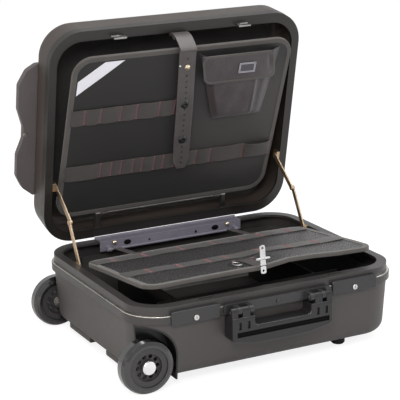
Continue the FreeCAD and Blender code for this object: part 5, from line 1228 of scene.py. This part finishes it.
def upright(x, y, z):
    """The frame of a piece that faces the front, x aside of the case's middle."""
    return Matrix.Translation(Vector((MIDDLE_X + x, y, z)) * MM) @ Matrix.Rotation(math.radians(90), 4, "X")


tab = sheet("edge_tab", TAB_X, TAB_HEIGHT, (20, 14), 5, 4, LOW_CORNERS)
lift(tab, lambda x, y, z: (x, y, z + 0.3 * math.sin(x / 6)))
thicken(tab, 1.1, 0.0)
place(tab, upright(0, TAB_Y, TAB_Z), WEBBING, "base", ["clasp_tab"], smooth=50)

turns = [math.radians(360 / EYE_STEPS * step) for step in range(EYE_STEPS + 1)]
circle = [(EYE_RADIUS * math.sin(turn), EYE_RADIUS * math.cos(turn)) for turn in turns]
eyes = join("cloth_eyes", [ribbon("cloth_eye", side * EYE_X, circle, EYE_HALF, EYE_THICK) for side in (-1, 1)])
place(eyes, ON_LID_PANEL, STRAP, "lid_panel", ["lid_panel_eyes"], smooth=50)
print("tab", len(tab.data.polygons), "eyes", len(eyes.data.polygons))

# %% [markdown]
# The hinge's leaf on the base has two oval slots, two small holes and two brass rivets. The slots and holes show
# only as dark ovals, so they are thin black plates on the leaf that paint their shade, and each rivet is turned.

# %% Slots and rivets of the hinge leaf
LEAF_FACE = 173.55
LEAF_HOLES = ((-98, 145, 8.0, 5.2), (98, 145, 8.0, 5.2), (-50, 143, 2.2, 2.0), (54, 143, 2.4, 3.0))
RIVET = [(0.0, 2.0), (2.4, 1.8), (4.0, 0.9), (4.5, 0.0), (0.0, 0.0)]
RIVET_X, RIVET_Z = 126, 148
RIVET_OUT = 1.8


def on_leaf(piece, x, height, out=0.0):
    """Turns a piece to face the front and sets it on the hinge's leaf."""
    piece.data.transform(upright(x, LEAF_FACE - out, height))
    return piece


leaf_holes = [on_leaf(oval("leaf_hole", (0, 0), (side_reach, rise), 0, 0.3, 24), x, height)
              for x, height, side_reach, rise in LEAF_HOLES]
# Black plates of painted shade stand for the leaf's slots and holes.
place(join("leaf_holes", leaf_holes), Matrix(), SLOT_SHADE, "base")
rivets = [on_leaf(spun("leaf_rivet", RIVET, 20), RIVET_X * side, RIVET_Z, RIVET_OUT) for side in (-1, 1)]
place(join("leaf_rivets", rivets), Matrix(), GILT, "base", smooth=40)
print("leaf holes", len(LEAF_HOLES), "rivets", len(rivets))

# %% [markdown]
# A felt pad lines the inside of the lid. It is one sheet with round corners and a slight swell.

# %% Lid pad
PAD_X = (-235, 235)
PAD_E = (35.3, 403.3)
PAD_CORNER = 45
PAD_BACK = -70.6
PAD_THICK = 3.8

pad = sheet("lid_pad", PAD_X, PAD_E, (40, 30), PAD_CORNER)
lift(pad, lambda x, y, z: (x, y, PAD_BACK + z + 0.3 * math.sin(x / 40) * math.sin(y / 35)))
thicken(pad, PAD_THICK)
place(pad, IN_LID, FELT, "lid", ["lid_liner"])
print("pad", len(pad.data.polygons))

# %% [markdown]
# The floor and the world look white to the camera, which is done by colour and by what kind of ray asks, not by
# more light on the case. The floor keeps the case's shadow, because part of it stays an ordinary pale surface.

# %% Floor
FLOOR_GLOW = 1.36
FLOOR_GLOW_SHARE = 0.62


def make_floor():
    """A pale floor that glows a little, but only to the camera."""
    only()
    bpy.ops.mesh.primitive_plane_add(size=9)
    floor = bpy.context.object
    floor.name = "floor"
    finish = Finish("floor_white", (236, 236, 236), 0.9)
    camera_ray = finish.node("ShaderNodeLightPath", {}, out=0)
    glow = finish.node("ShaderNodeEmission", {}, (1.0, 1.0, 1.0, 1.0), FLOOR_GLOW)
    plain = Signal(finish, finish.shader.outputs[0])
    mixed = finish.node("ShaderNodeMixShader", {}, camera_ray * FLOOR_GLOW_SHARE, plain, glow)
    output = finish.tree.nodes["Material Output"]
    finish.tree.links.new(mixed.socket, output.inputs["Surface"])
    floor.data.materials.append(finish.material)


make_floor()
print("floor ready")

# %% World
WHITE_IN_GLOSS = 0.6
WORLD_LIGHT = 0.42


def make_world():
    """White to the camera and behind glass, mostly white in gloss, and dimmer as light on the case."""
    world = bpy.data.worlds.new("studio")
    bpy.context.scene.world = world
    world.use_nodes = True
    tree = world.node_tree
    path = tree.nodes.new("ShaderNodeLightPath")
    gloss = tree.nodes.new("ShaderNodeMath")
    gloss.operation = "MULTIPLY_ADD"
    gloss.inputs[1].default_value = WHITE_IN_GLOSS
    tree.links.new(path.outputs["Is Glossy Ray"], gloss.inputs[0])
    tree.links.new(path.outputs["Is Camera Ray"], gloss.inputs[2])
    seen = tree.nodes.new("ShaderNodeMath")
    seen.operation = "ADD"
    seen.use_clamp = True
    tree.links.new(gloss.outputs[0], seen.inputs[0])
    tree.links.new(path.outputs["Is Transmission Ray"], seen.inputs[1])
    level = tree.nodes.new("ShaderNodeMapRange")
    level.inputs["To Min"].default_value = WORLD_LIGHT
    level.inputs["To Max"].default_value = 1.0
    tree.links.new(seen.outputs[0], level.inputs["Value"])
    back = tree.nodes["Background"]
    back.inputs["Color"].default_value = (1, 1, 1, 1)
    tree.links.new(level.outputs[0], back.inputs["Strength"])


make_world()
print("world ready")

# %% [markdown]
# Soft round lamps light the case from the front, from above and from the right. A small one at the front left
# gives the short highlights on tyres, rivets and rims, and a warm one lights the lid's foot.

# %% Lamps
def lamp(name, place, target, size, power, color=(1, 1, 1)):
    """A round lamp that shines from a place on to a target."""
    data = bpy.data.lights.new(name, "AREA")
    data.color = color
    data.shape = "DISK"
    data.size = size
    data.energy = power
    one = bpy.data.objects.new(name, data)
    bpy.context.scene.collection.objects.link(one)
    place, target = Vector(place), Vector(target)
    one.matrix_world = Matrix.Translation(place) @ (place - target).to_track_quat("Z", "Y").to_matrix().to_4x4()


lamp("key", (-1.3, -2.2, 1.9), (0, 0, 0.25), 1.0, 42)
lamp("top", (0.4, -0.2, 2.4), (0, 0, 0.2), 1.4, 26)
lamp("side", (2.3, -1.0, 1.2), (0, 0, 0.3), 0.9, 16)
lamp("spark", (-1.9, -1.3, 1.0), (-0.2, -0.2, 0.1), 0.10, 3.2)
lamp("warm", (-2.4, -0.5, 0.9), (0, 0, 0.15), 0.8, 11, (1.0, 0.84, 0.68))
bpy.context.scene.view_settings.view_transform = "Standard"
print("lamps", len(bpy.data.lights))
